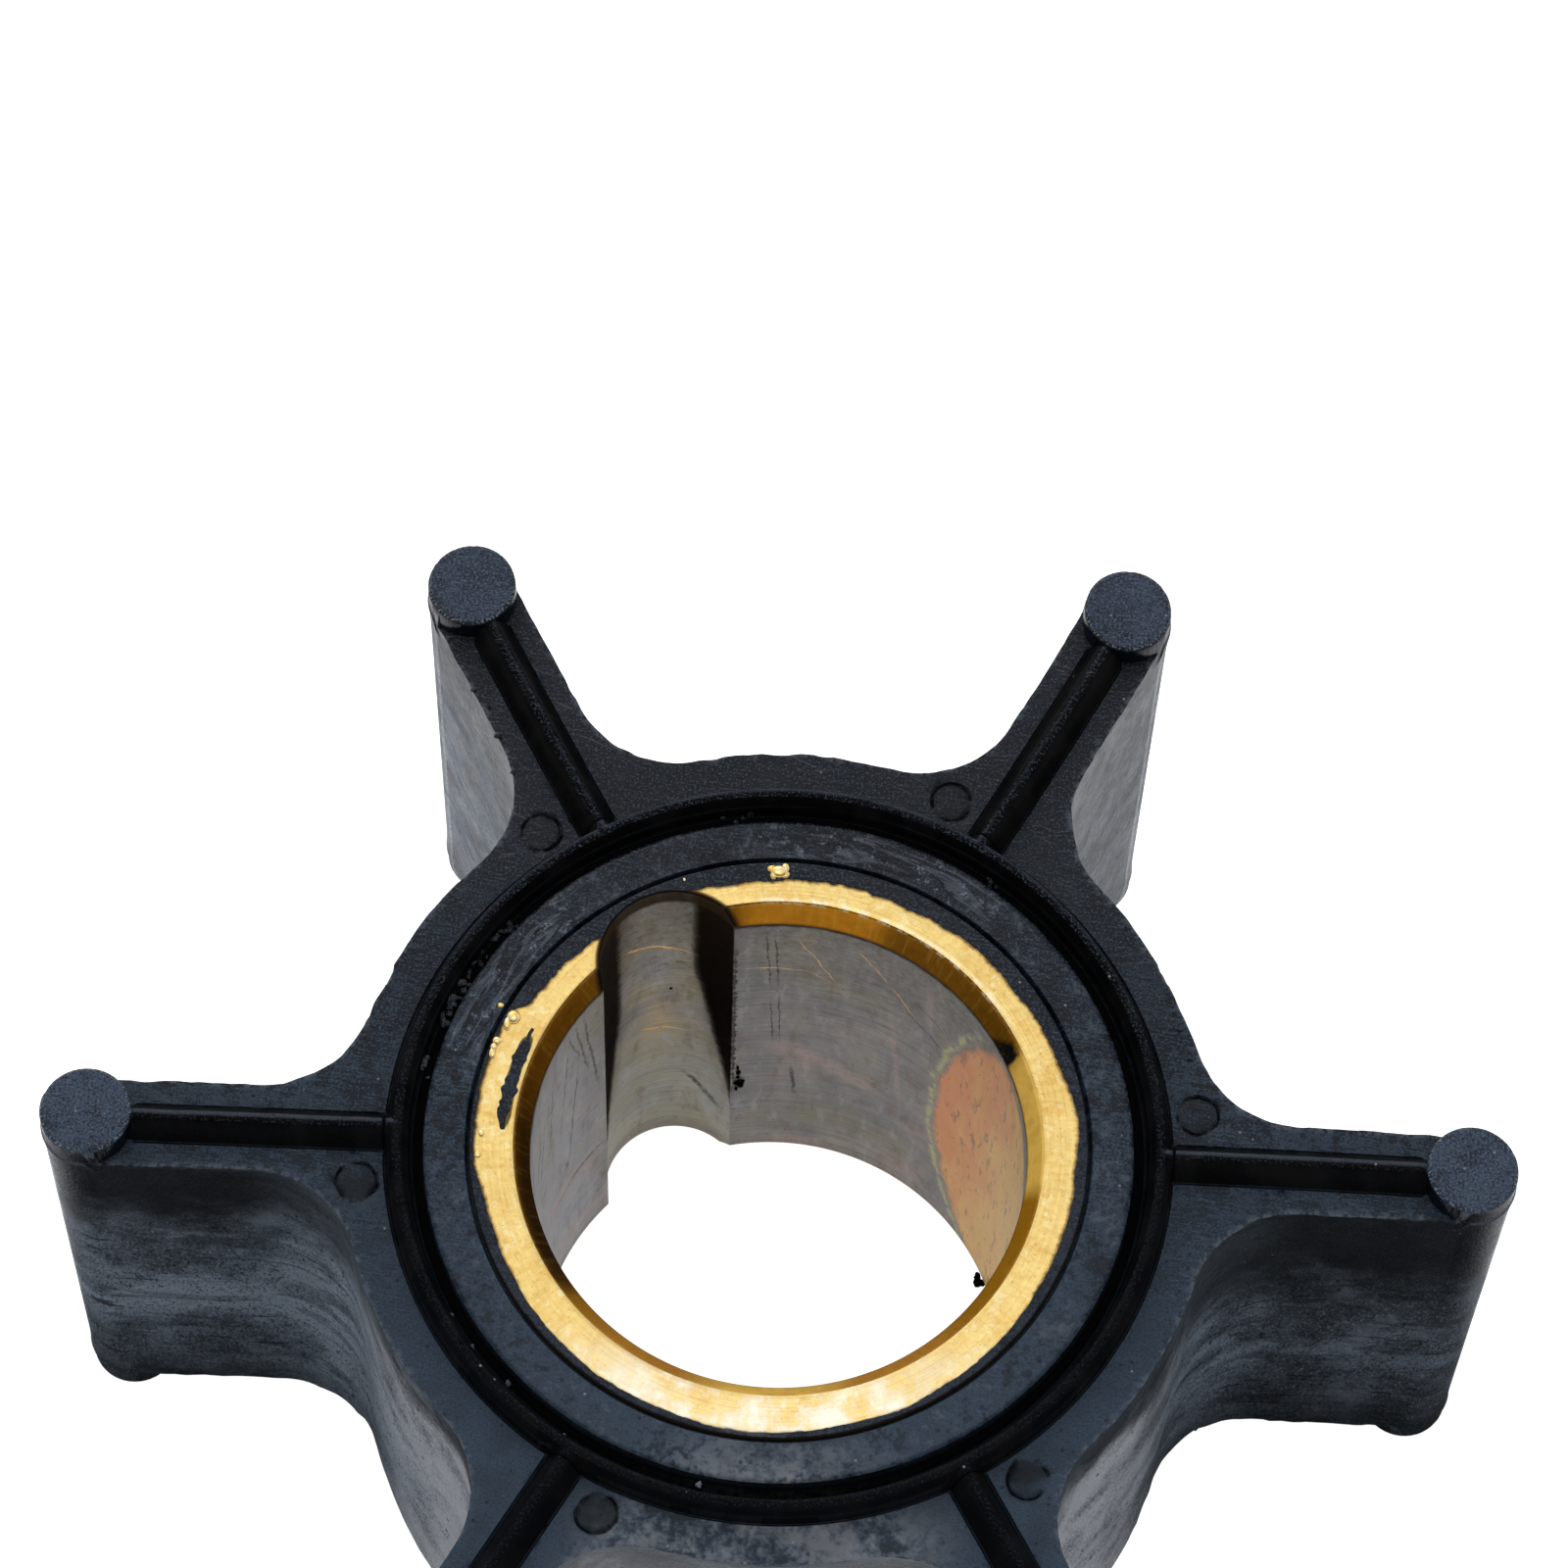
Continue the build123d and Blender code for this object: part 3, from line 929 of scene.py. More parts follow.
def lay_small_wear(rubber, coat):
    """Scratches, dust, holes, worn edges, pin marks, and painted shade that turns the grooves black."""
    tree, place, face, side = rubber.tree, rubber.place, rubber.face, rubber.side
    cloud, mottle = rubber.cloud, rubber.mottle
    scratch = hairlines(tree, place, 25, 2.5, 0.07, 0.66, 0.74)
    scratch = scratch.most(hairlines(tree, place, -8, 2.0, 0.06, 0.67, 0.75))
    scratch = scratch * rubber.bloom_cloud.ramp(0.46, 0.62) * face * rubber.radius.ramp(17.8, 19.0, 0.10, 1.0)
    coat.lay(scratch * (1.0 - rubber.cap) * (rubber.far * 0.10 + 0.06), DUST_AND_GLINT_WHITE)
    coat.lay(rubber.dust * 0.6, DUST_AND_GLINT_WHITE)
    holes = specks(tree, rubber.tall, 2.0, 0.24, 0.34)
    pocks = holes * face * 0.6
    holes = holes * side * cloud.ramp(0.42, 0.55)
    coat.lay((holes * 0.85).most(pocks), SHADE_AND_MARK_BLACK)
    coat.lay(stored(tree, "edge") * mottle.ramp(0.42, 0.60) * 0.6, BLOOM_AND_HIGHLIGHT_GREY)
    pin = hypotenuse(rubber.along - PIN_ALONG, rubber.across - PIN_ACROSS) + (mottle - 0.5) * 0.8
    pin = pin.fall(PIN_RADIUS - 0.1, PIN_RADIUS + 0.1) * face
    coat.lay(pin * (0.30 + cloud.ramp(0.45, 0.6) * 0.45), SHADE_AND_MARK_BLACK)
    # painted shade: the creases at the feet of the beads, round the pin marks and in the gap outside the
    # collar go black
    grooves = stored(tree, "crease").most(stored(tree, "gap"))
    coat.lay((grooves * 1.4).kept() * 0.95, SHADE_AND_MARK_BLACK)


def rubber_finish(name, dark, pale, bend=RUBBER_IOR):
    """Black moulded rubber: mottled faces with fine scratches and dust, and walls with a pale bloom, with
    painted shade, sheen and highlights laid over them.
    """
    material, tree, shader = finish_tree(name)
    shader.inputs["IOR"].default_value = bend
    rubber = Moulded(tree)
    coat = coat_faces(rubber, dark, pale)
    coat.lay(rubber.side, coat_walls(rubber))
    lay_crests_and_caps(rubber, coat, dark)
    lay_collar_wear(rubber, coat)
    lay_small_wear(rubber, coat)
    tree.links.new(coat.colour.socket, shader.inputs["Base Color"])

    side, relief = rubber.side, rubber.relief
    rough = rubber.cloud.ramp(0.3, 0.7, 0.44, 0.54) + (rubber.mottle - 0.5) * 0.30 + rubber.dust * 0.2
    rough = rough - side * 0.08 + rubber.bloom * 0.15 - (1.0 - rubber.opened) * side * 0.06
    rough = rough - relief.ramp(0.2, 0.5) * relief.fall(1.16, 1.22) * 0.18
    feed(tree, rough, shader.inputs["Roughness"])
    bumped(tree, shader, rubber.mottle * 0.034 + rubber.grain * 0.009 + rubber.sandy * side * 0.036)
    return material


BRASS_IOR = 1.2
BRASS_GOLD = (0.90, 0.67, 0.25)
BRASS_WORN = (0.66, 0.36, 0.06)
BRASS_PALE = (1.0, 0.86, 0.46)
BRASS_AMBER = (0.70, 0.34, 0.05)
BRASS_SPOT = (0.42, 0.20, 0.04)
# painted highlights on the end face: along the inner edge, and white on the near side
BRASS_HIGHLIGHT = (1.0, 0.88, 0.60)
BRASS_HIGHLIGHT_WHITE = (1.0, 0.95, 0.78)
TORN_BROWN = (0.10, 0.060, 0.015)
FILM_STAIN = (0.16, 0.075, 0.015)
TARNISH_BROWN = (0.05, 0.025, 0.008)
# tones of the chamfer by its place round the bore: painted light and shade
CHAMFER_AMBER = (0.46, 0.180, 0.010)
CHAMFER_HONEY = (0.60, 0.260, 0.030)
CHAMFER_LIT_BROWN = (0.40, 0.170, 0.006)
CHAMFER_HIGHLIGHT_GOLD = (1.00, 0.60, 0.105)
CHAMFER_SHADE_BROWN = (0.170, 0.067, 0.0030)
CHAMFER_BLOTCH = (0.25, 0.11, 0.010)
CHAMFER_SPOKE = (0.70, 0.42, 0.06)
LIP_GLINT = (1.0, 0.84, 0.58)
# dark brown for the chamfer's inner edge and the inner part of its left side
INNER_EDGE_BROWN = (0.056, 0.024, 0.004)
SOOT = (0.006, 0.005, 0.004)
BORE_TAUPE = (0.32, 0.300, 0.270)
BORE_SLATE = (0.235, 0.235, 0.235)
BORE_PINK = (0.50, 0.36, 0.32)
BORE_BLUE = (0.40, 0.41, 0.45)
BORE_OLIVE = (0.34, 0.29, 0.15)
BORE_MAUVE = (0.32, 0.25, 0.28)
BORE_SHADE = (0.12, 0.11, 0.10)
MOUTH_SHADE = (0.13, 0.115, 0.09)
MOUTH_RIM = (0.05, 0.03, 0.012)
LOW_RIM = (0.20, 0.13, 0.08)
TURNING_DARK = (0.11, 0.095, 0.08)
TURNING_PALE = (0.58, 0.54, 0.50)
WORN_DARK = (0.16, 0.11, 0.07)
WORN_PALE = (0.52, 0.50, 0.52)
KEY_BEIGE = (0.40, 0.345, 0.20)
KEY_OCHRE = (0.60, 0.42, 0.20)
KEY_PALE = (0.50, 0.50, 0.40)
KEY_SHADE = (0.17, 0.13, 0.085)
KEY_SOOT = (0.05, 0.035, 0.025)
# painted shadow on the keyway's flanks
KEY_SHADOW_BLACK = (0.016, 0.007, 0.002)
COPPER_RED = (0.92, 0.36, 0.12)
COPPER_GOLD = (1.00, 0.62, 0.16)
COPPER_SCORE = (0.22, 0.11, 0.05)
COPPER_DOT = (0.05, 0.03, 0.02)
RIM_GREEN = (0.62, 0.60, 0.28)
LINE_PINK = (0.58, 0.42, 0.38)
LINE_DARK = (0.030, 0.026, 0.020)
LINE_BRIGHT = (0.95, 0.56, 0.20)
LINE_KEY = (1.0, 0.58, 0.16)
NUB_GOLD = (1.0, 0.66, 0.20)
NUB_PALE = (1.0, 0.78, 0.40)

# dark and bright lines on the bore wall: start and end as (degrees round, mm below the bush end), width in mm
DARK_LINES = (
    ((95.0, 1.2), (93.4, 9.0), 0.075), ((92.7, 1.2), (91.6, 8.4), 0.070),
    ((93.4, 9.0), (92.4, 15.4), 0.045), ((91.6, 8.4), (90.6, 15.4), 0.045),
    ((60.5, 6.8), (47.5, 8.5), 0.08), ((60.0, 5.0), (43.0, 7.0), 0.05),
    ((163.0, 6.0), (173.0, 9.8), 0.09), ((164.6, 7.2), (169.6, 11.6), 0.12),
    ((167.0, 5.6), (172.0, 11.0), 0.07), ((144.5, 18.8), (161.0, 19.2), 0.10),
    ((137.5, 18.9), (151.7, 18.8), 0.14), ((153.2, 16.0), (153.2, 16.6), 0.22),
    ((145.0, 0.8), (139.5, 12.0), 0.12), ((148.0, 1.0), (143.0, 9.0), 0.10),
    ((151.0, 1.5), (146.0, 6.0), 0.10), ((176.0, 3.0), (178.0, 11.0), 0.10),
    ((150.0, 2.0), (156.0, 12.0), 0.06), ((146.0, 5.0), (153.0, 17.0), 0.07),
    ((158.0, 3.0), (163.0, 13.0), 0.07), ((112.0, 21.0), (104.0, 24.5), 0.20),
    ((88.0, 17.5), (86.5, 21.5), 0.14),
)
BRIGHT_LINES = (
    ((101.5, 5.8), (84.0, 6.1), 0.080), ((84.0, 6.1), (79.0, 7.0), 0.050), ((88.6, 2.0), (76.5, 7.5), 0.050),
    ((73.5, 2.4), (64.0, 5.0), 0.075), ((64.0, 5.0), (56.3, 7.4), 0.070),
)
KEY_LINES = (((126.5, 4.9), (108.5, 7.0), 0.085), ((121.0, 15.3), (110.5, 16.2), 0.080))
PINK_LINES = (
    ((53.4, 2.4), (52.8, 7.5), 0.30), ((63.9, 7.0), (58.7, 20.5), 0.22), ((97.0, 14.0), (60.0, 19.5), 0.9),
)


class Turned:
    """What every part of the brass finish is worked out from: places round the bore and the noises."""

    def __init__(self, tree):
        self.tree = tree
        self.place = millimetres(tree)
        self.x, self.y, self.z = self.place.parts()
        self.radius = hypotenuse(self.x, self.y)
        self.angle = self.y.math("ARCTAN2", self.x)
        self.degrees = self.angle * math.degrees(1)
        self.depth = BUSH_HIGH - self.z
        facing = tree.nodes.new("ShaderNodeTexCoord")
        upright = Term(tree, facing.outputs["Normal"]).parts()[2].size()
        self.face = upright.ramp(0.9, 0.98)
        self.bore = upright.fall(0.25, 0.35)
        self.in_key = self.radius.ramp(BORE_RADIUS + 0.02, BORE_RADIUS + 0.1)
        cut_x = self.x - KEYWAY_CENTRE * math.cos(KEYWAY_ANGLE)
        cut_y = self.y - KEYWAY_CENTRE * math.sin(KEYWAY_ANGLE)
        self.from_cut = hypotenuse(cut_x, cut_y)

        self.round_place = vector_of(tree, self.angle * 11.0, self.radius, self.z)
        self.turning = noise(tree, self.round_place.scaled(0.12, 1, 7.0), 1.0, 3.0, 0.7)
        self.rings = noise(tree, vector_of(tree, self.angle * 1.2, self.radius * 9.0, 0.0), 1.0, 3.0, 0.7)
        self.spokes = noise(tree, vector_of(tree, self.angle * 40.0, self.radius * 0.8, 0.0), 1.0, 3.0, 0.6)
        self.cloud = noise(tree, self.place, 0.55, 4.0, 0.6)
        self.fine = noise(tree, self.place, 3.0, 3.0, 0.6)
        self.blotch = noise(tree, self.place, 1.1, 3.0, 0.6)


def coat_end_face(brass):
    """The bright end face: worn rings and spokes, amber spots, brown beside the film, and painted highlights
    along the inner edge and on the near side.
    """
    tree, y, radius, degrees, spokes = brass.tree, brass.y, brass.radius, brass.degrees, brass.spokes
    cloud, fine, blotch = brass.cloud, brass.fine, brass.blotch
    worn = cloud.ramp(0.35, 0.7) * 0.25 + brass.rings.ramp(0.4, 0.7) * 0.30
    worn = worn + spokes.ramp(0.4, 0.7) * 0.25 + fine.ramp(0.4, 0.7) * 0.2
    coat = Coat(tree, blend(tree, worn, BRASS_GOLD, BRASS_WORN))
    coat.lay((blotch.ramp(0.52, 0.62) * fine.ramp(0.45, 0.60)).kept() * 0.55, BRASS_PALE)
    coat.lay(noise(tree, brass.place, 0.8, 4.0, 0.7).ramp(0.55, 0.68) * 0.35, BRASS_AMBER)
    coat.lay(noise(tree, brass.place, 6.0, 1.0).ramp(0.66, 0.74) * 0.4, BRASS_SPOT)
    # painted highlight along the inner edge of the end face, round 66 degrees
    lip_highlight = radius.near(BORE_RADIUS + MOUTH_WIDTH + 0.12, 0.22) * degrees.within(66.0, 26.0, 40.0)
    coat.lay(lip_highlight * fine.ramp(0.38, 0.58) * 0.65, BRASS_HIGHLIGHT)
    # painted highlight: the near side of the end face turns white in soft patches
    near_highlight = y.fall(-12.8, -8.5) * (cloud * 0.7 + spokes * 0.2 + fine * 0.2).ramp(0.42, 0.66)
    coat.lay(near_highlight * 0.85, BRASS_HIGHLIGHT_WHITE)
    torn = degrees.within(168.0, 8.0, 13.0) * radius.near(12.33, 0.52)
    brass.torn = (torn * (fine * 0.5 + blotch * 0.7 + 0.3)).ramp(0.30, 0.52) * 0.9
    coat.lay(brass.torn, TORN_BROWN)
    beside_film = radius - stored(tree, "film_edge") + (fine - 0.5) * 0.22
    brass.edge_stain = (beside_film - y.ramp(-4.0, -9.0) * 0.10).ramp(-0.20, 0.02) * 0.9
    coat.lay(brass.edge_stain, FILM_STAIN)
    tarnish = (radius + (blotch - 0.5) * 0.5).ramp(13.45, 13.72) * 0.9
    coat.lay(tarnish.most(brass.from_cut.fall(KEYWAY_RADIUS + 0.10, KEYWAY_RADIUS + 0.28)), TARNISH_BROWN)
    return coat.colour


def coat_chamfer(brass):
    """The chamfer of the bore's mouth: painted light and shade by its place round the bore, from shaded brown
    through amber and honey to highlighted gold.
    """
    tree, radius, degrees, fine, blotch = brass.tree, brass.radius, brass.degrees, brass.fine, brass.blotch
    # painted light and shade: the chamfer's tone is set by its place round the bore, shaded brown on the far
    # part, lighter brown on the near part, amber, honey and highlighted gold where the light falls
    below_centre = (degrees + 90.0).size()
    brass.near_part = (degrees + 58.0).size().fall(80.0, 88.0)
    coat = Coat(tree, blend(tree, brass.near_part, CHAMFER_SHADE_BROWN, CHAMFER_LIT_BROWN))
    coat.lay(degrees.within(84.0, 12.0, 20.0), CHAMFER_AMBER)
    coat.lay(below_centre.ramp(34.0, 52.0, 0.9, 0.0), CHAMFER_HONEY)
    coat.lay(degrees.within(8.0, 13.0, 19.0).most(below_centre.fall(8.0, 22.0)), CHAMFER_HIGHLIGHT_GOLD)
    coat.lay(blotch.ramp(0.4, 0.6) * 0.20, CHAMFER_BLOTCH)
    inward = (radius + (blotch - 0.5) * 0.3).fall(BORE_RADIUS + 0.35, BORE_RADIUS + MOUTH_WIDTH)
    # darker towards the inner edge on the left side of the chamfer
    left_inner_dark = (degrees - 194.0).size().least((degrees + 166.0).size()).fall(12.0, 30.0)
    coat.lay(left_inner_dark * inward * 0.9, INNER_EDGE_BROWN)
    coat.lay(brass.spokes.ramp(0.5, 0.65) * 0.12, CHAMFER_SPOKE)
    coat.lay(brass.from_cut.fall(KEYWAY_RADIUS + 0.05, KEYWAY_RADIUS + 0.4), SOOT)
    lip = radius.near(BORE_RADIUS + MOUTH_WIDTH, 0.09) * (degrees - 66.0).size().ramp(24.0, 34.0, 1.0, 0.15)
    coat.lay(lip * fine.ramp(0.45, 0.6) * 0.6, LIP_GLINT)
    # a dark line along the chamfer's inner edge
    coat.lay(radius.fall(BORE_RADIUS, BORE_RADIUS + 0.09) * 0.6, INNER_EDGE_BROWN)
    smudge = (degrees + (blotch - 0.5) * 5.0).ramp(23.5, 25.0)
    smudge = smudge * (degrees + (radius - 11.1) * 8.0).fall(31.0, 34.0)
    coat.lay(smudge * (blotch * 0.6 + fine * 0.4 + inward * 0.25).ramp(0.42, 0.72), SOOT)
    return coat.colour


def lay_keyway_stains(brass, coat):
    """Beige, ochre and soot inside the keyway, by how deep in the bore they lie."""
    degrees, depth, fine, in_key = brass.degrees, brass.depth, brass.fine, brass.in_key
    coat.lay(noise(brass.tree, brass.place, 0.4, 2.0).ramp(0.4, 0.6) * in_key * 0.6, KEY_BEIGE)
    ochre = ((degrees - 116.5) * 0.25).near(0.0, 1.3) * (depth - 14.5).near(0.0, 4.2) * in_key
    coat.lay(ochre * (0.45 + fine.ramp(0.4, 0.6) * 0.4), KEY_OCHRE)
    coat.lay(in_key * depth.ramp(15.0, 21.0) * 0.5, KEY_PALE)
    coat.lay(in_key * depth.ramp(9.0, 1.0) * 0.55, KEY_SHADE)
    sooted = fine.ramp(0.54, 0.64) * brass.cloud.ramp(0.42, 0.58) * in_key * depth.ramp(15.0, 6.0)
    coat.lay(sooted * 0.6, KEY_SOOT)


def lay_bore_wear(brass, coat, left):
    """Turning marks, streaks and shade on the bore wall."""
    tree, degrees, depth, round_place = brass.tree, brass.degrees, brass.depth, brass.round_place
    hue = noise(tree, round_place.scaled(0.8, 1, 0.7), 0.35, 3.0, 0.5)
    coat.lay(hue.ramp(0.52, 0.66) * 0.35, BORE_OLIVE)
    coat.lay(hue.ramp(0.46, 0.34) * 0.20, BORE_MAUVE)
    coat.lay(brass.turning.ramp(0.48, 0.72) * 0.40, TURNING_DARK)
    coat.lay(brass.turning.ramp(0.50, 0.32) * 0.20, TURNING_PALE)
    worn = noise(tree, round_place.scaled(1.6, 1, 0.45), 0.8, 4.0, 0.6)
    coat.lay(worn.ramp(0.52, 0.68) * 0.45, WORN_DARK)
    coat.lay(worn.ramp(0.46, 0.32) * 0.35, WORN_PALE)
    shade = noise(tree, round_place.scaled(0.5, 1, 2.2), 0.9, 4.0, 0.6).ramp(0.52, 0.7)
    coat.lay(shade * degrees.within(72.0, 6.0, 20.0) * depth.within(8.0, 2.0, 5.0) * 0.6, BORE_SHADE)
    mouth = depth.ramp(12.0, 1.5) * (0.30 + brass.fine.ramp(0.4, 0.65) * 0.3)
    coat.lay(mouth * (1.0 - left), MOUTH_SHADE)


def lay_copper_patch(brass, coat):
    """The red and gold patch on the bore wall, scored and dotted, with a green line along its edge."""
    tree, degrees, depth, round_place = brass.tree, brass.degrees, brass.depth, brass.round_place
    aside = (degrees - 20.0) * (1 / 32.0)
    down = (depth - 15.2) * (1 / 15.2)
    wobble = (noise(tree, brass.place, 0.6, 3.0) - 0.5) * 0.16
    outward = hypotenuse(aside, down) + wobble
    copper = outward.fall(0.86, 0.94)
    streaky = noise(tree, round_place.scaled(1.2, 1, 0.25), 0.8, 4.0, 0.6)
    drift = (30.0 - degrees) * 0.022 + (streaky - 0.5) * 1.3 + (depth - 12.0) * 0.018
    coat.lay(copper * 0.95, blend(tree, drift.ramp(-0.35, 0.45), COPPER_RED, COPPER_GOLD))
    scored = noise(tree, round_place.scaled(2.2, 1, 0.5), 1.0, 4.0, 0.65).ramp(0.56, 0.66) * copper
    coat.lay(scored * 0.6, COPPER_SCORE)
    coat.lay(specks(tree, round_place, 2.6, 0.14, 0.45) * copper * 0.8, COPPER_DOT)
    rim = outward.near(0.96, 0.045) * degrees.ramp(32.0, 40.0) * brass.blotch.ramp(0.35, 0.5)
    coat.lay(rim * 0.8, RIM_GREEN)


def lay_lines(coat, spot, lines, share, ink):
    """Draws scratches on the unrolled bore wall."""
    mask = None
    for start, end, width in lines:
        first = (math.radians(start[0]) * BORE_RADIUS, start[1])
        last = (math.radians(end[0]) * BORE_RADIUS, end[1])
        line = stroke(coat.tree, spot, first, last, width)
        mask = line if mask is None else mask.most(line)
    coat.lay(mask * share, ink)


def lay_scratches(brass, coat):
    """The scratches of the bore, the black edges of the keyway, and the painted shadow on its flanks."""
    degrees, depth, fine, blotch = brass.degrees, brass.depth, brass.fine, brass.blotch
    waver = (blotch - 0.5) * 0.3
    spot = vector_of(brass.tree, degrees * (math.radians(1) * BORE_RADIUS) + waver, depth + waver, 0.0)
    lay_lines(coat, spot, PINK_LINES, fine.ramp(0.35, 0.60, 0.10, 0.40), LINE_PINK)
    lay_lines(coat, spot, DARK_LINES, fine.ramp(0.30, 0.55, 0.30, 0.92), LINE_DARK)
    lay_lines(coat, spot, BRIGHT_LINES, fine.ramp(0.36, 0.58, 0.25, 0.95), LINE_BRIGHT)
    edge = (degrees - 102.1).size() - (fine - 0.42) * 3.0
    edge = edge.fall(0.0, 0.35) * depth.ramp(2.0, 5.0) * depth.fall(19.0, 22.0)
    coat.lay(edge * 0.95, SOOT)
    uneven = (blotch - 0.5) * 1.2 + (fine - 0.5) * 0.8
    # painted shadow on the keyway's flanks, widest near the top of the bore
    right_flank_shadow = (degrees + (depth - 8.0).most(0.0) * 0.50 + uneven).fall(108.4, 110.2)
    left_flank_shadow = (degrees - (depth - 12.0).most(0.0) * 0.50 + uneven).ramp(124.2, 126.4)
    brass.flank = right_flank_shadow.most(left_flank_shadow * 0.95) * brass.in_key
    coat.lay(brass.flank * 0.98, KEY_SHADOW_BLACK)
    lay_lines(coat, spot, KEY_LINES, 0.95, LINE_KEY)


def coat_bore(brass):
    """The dull stained bore, with all that is laid on it."""
    tree, degrees, depth, round_place = brass.tree, brass.degrees, brass.depth, brass.round_place
    stain = noise(tree, round_place.scaled(1, 1, 0.5), 0.35, 4.0, 0.6)
    coat = Coat(tree, blend(tree, stain.ramp(0.35, 0.6), BORE_TAUPE, BORE_SLATE))
    left = degrees.within(166.0, 12.0, 34.0)
    coat.lay(left * 0.8, BORE_BLUE)
    pink = noise(tree, round_place.scaled(1, 1, 1.6), 0.3, 3.0, 0.5).ramp(0.5, 0.66)
    coat.lay(pink * depth.ramp(8.0, 18.0) * 0.5, BORE_PINK)
    lay_keyway_stains(brass, coat)
    lay_bore_wear(brass, coat, left)
    lay_copper_patch(brass, coat)
    lay_scratches(brass, coat)
    brass.pits = specks(tree, round_place, 1.7, 0.10, 0.30).most(specks(tree, round_place, 3.3, 0.16, 0.06))
    coat.lay(brass.pits * 0.85, SOOT)
    rim_reach = (degrees - 190.0).size().least((degrees + 170.0).size()).ramp(0.0, 30.0, 2.6, 0.35)
    brass.top_rim = (depth + (brass.blotch - 0.5) * 0.4).fall(MOUTH_DEPTH, rim_reach + MOUTH_DEPTH)
    coat.lay(brass.top_rim * 0.85, MOUTH_RIM)
    coat.lay(depth.ramp(26.8, 28.0) * 0.5, LOW_RIM)
    return coat.colour


def brass_finish():
    """Turned brass: a bright end face, a chamfer painted from shaded brown to highlighted gold, and a dull
    stained bore with painted shadow on its keyway's flanks.
    """
    material, tree, shader = finish_tree("turned_brass")
    shader.inputs["IOR"].default_value = BRASS_IOR
    brass = Turned(tree)
    end_face = coat_end_face(brass)
    coat = Coat(tree, blend(tree, brass.face, coat_chamfer(brass), end_face))
    rim_soot = brass.radius.ramp(CRACK_RADIUS - 0.10, CRACK_RADIUS - 0.02)
    coat.lay(rim_soot, SOOT)
    coat.lay(brass.bore, coat_bore(brass))
    tree.links.new(coat.colour.socket, shader.inputs["Base Color"])

    face, bore, fine = brass.face, brass.bore, brass.fine
    on_chamfer = (1.0 - face) * (1.0 - bore)
    stained = brass.edge_stain.most(brass.torn) * face * 0.5
    # dirt, stains, the black rim and the painted shadow on the keyway's flanks: less metallic and rougher
    # there
    dirt_and_shadow = (brass.flank.most(brass.top_rim * 0.9) * bore).most(rim_soot).most(stained)
    metal = 1.0 - bore * 0.15 - on_chamfer * (brass.near_part * 0.5 + 0.2)
    feed(tree, metal * (1.0 - dirt_and_shadow * 0.95), shader.inputs["Metallic"])
    rough = bore.ramp(0.0, 1.0, 0.33, 0.36) + (fine - 0.5) * 0.2 + (brass.cloud - 0.5) * 0.12
    feed(tree, rough + brass.pits * 0.2 + dirt_and_shadow * 0.6, shader.inputs["Roughness"])
    height = brass.rings * 0.014 * face + brass.turning * 0.010 * bore + fine * 0.010
    bumped(tree, shader, height + brass.blotch * 0.02 * face)
    return material


# ---- brass bush ---------------------------------------------------------------------------------

# where the thin flash over the bush end stops: degrees round from +X, mm from the bore's axis
FILM_EDGE = (
    (-180, 13.66), (-173, 13.66), (-166, 13.32), (-155, 13.37), (-145, 13.42), (-135, 13.42),
    (-125, 13.50), (-115, 13.46), (-105, 13.50), (-95, 13.62), (-85, 13.56), (-75, 13.50),
    (-65, 13.62), (-55, 13.47), (-45, 13.42), (-35, 13.38), (-25, 13.35), (-15, 13.35),
    (-3, 13.30), (5, 13.44), (11, 13.36), (21, 13.22), (28, 13.12), (37, 13.06),
    (45, 13.08), (55, 13.00), (65, 12.96), (75, 12.98), (89, 12.92), (95.6, 12.87),
    (101, 12.88), (128, 12.94), (135, 12.98), (143, 13.03), (151.5, 13.14),
    (153, 13.45), (155, 13.72), (164, 13.68), (173, 13.70), (180, 13.66),
)
LOWER_FILM_EDGE = 13.2

# the smear torn loose from the flash: where its middle runs, and half its width along it
SMEAR = (
    (155.6, 12.42), (158.0, 12.36), (161.4, 12.33), (165.6, 12.27), (170.7, 12.36), (175.1, 12.42),
    (179.2, 12.41),
)
SMEAR_HALF = ((0, 0.18), (0.1, 0.20), (0.25, 0.36), (0.5, 0.35), (0.7, 0.31), (0.88, 0.28), (1, 0.24))
SMEAR_POINTS = 90


def film_line(end):
    """The inner edge of the flash over one end of the bush: angles and radii."""
    seed = 21 if end > 0 else 22
    count = 1400
    angles = np.linspace(-math.pi, math.pi, count, endpoint=False)
    turns, edges = zip(*FILM_EDGE)
    inner = np.interp(np.degrees(angles), turns, edges) if end > 0 else np.full(count, LOWER_FILM_EDGE)
    rough = np.interp(np.degrees(angles), (-180, -150, -10, 20, 180), (1.0, 0.45, 0.45, 1.0, 1.3))
    swing = random_line(count, 12, seed) * 0.06 + random_line(count, 3, seed + 5, 2.0) * 0.05
    inner = inner + swing * rough + random_line(count, 60, seed + 9) * 0.05
    return angles, np.minimum(inner, CRACK_RADIUS - 0.06)


def keyway_wall(turn):
    """How far from the bore's axis the keyway's wall lies, by the angle from its middle."""
    reach = np.clip(KEYWAY_RADIUS ** 2 - (KEYWAY_CENTRE * np.sin(turn)) ** 2, 0, None)
    return KEYWAY_CENTRE * np.cos(turn) + np.sqrt(reach)


KEYWAY_COLUMNS = 160
BORE_COLUMNS = 560


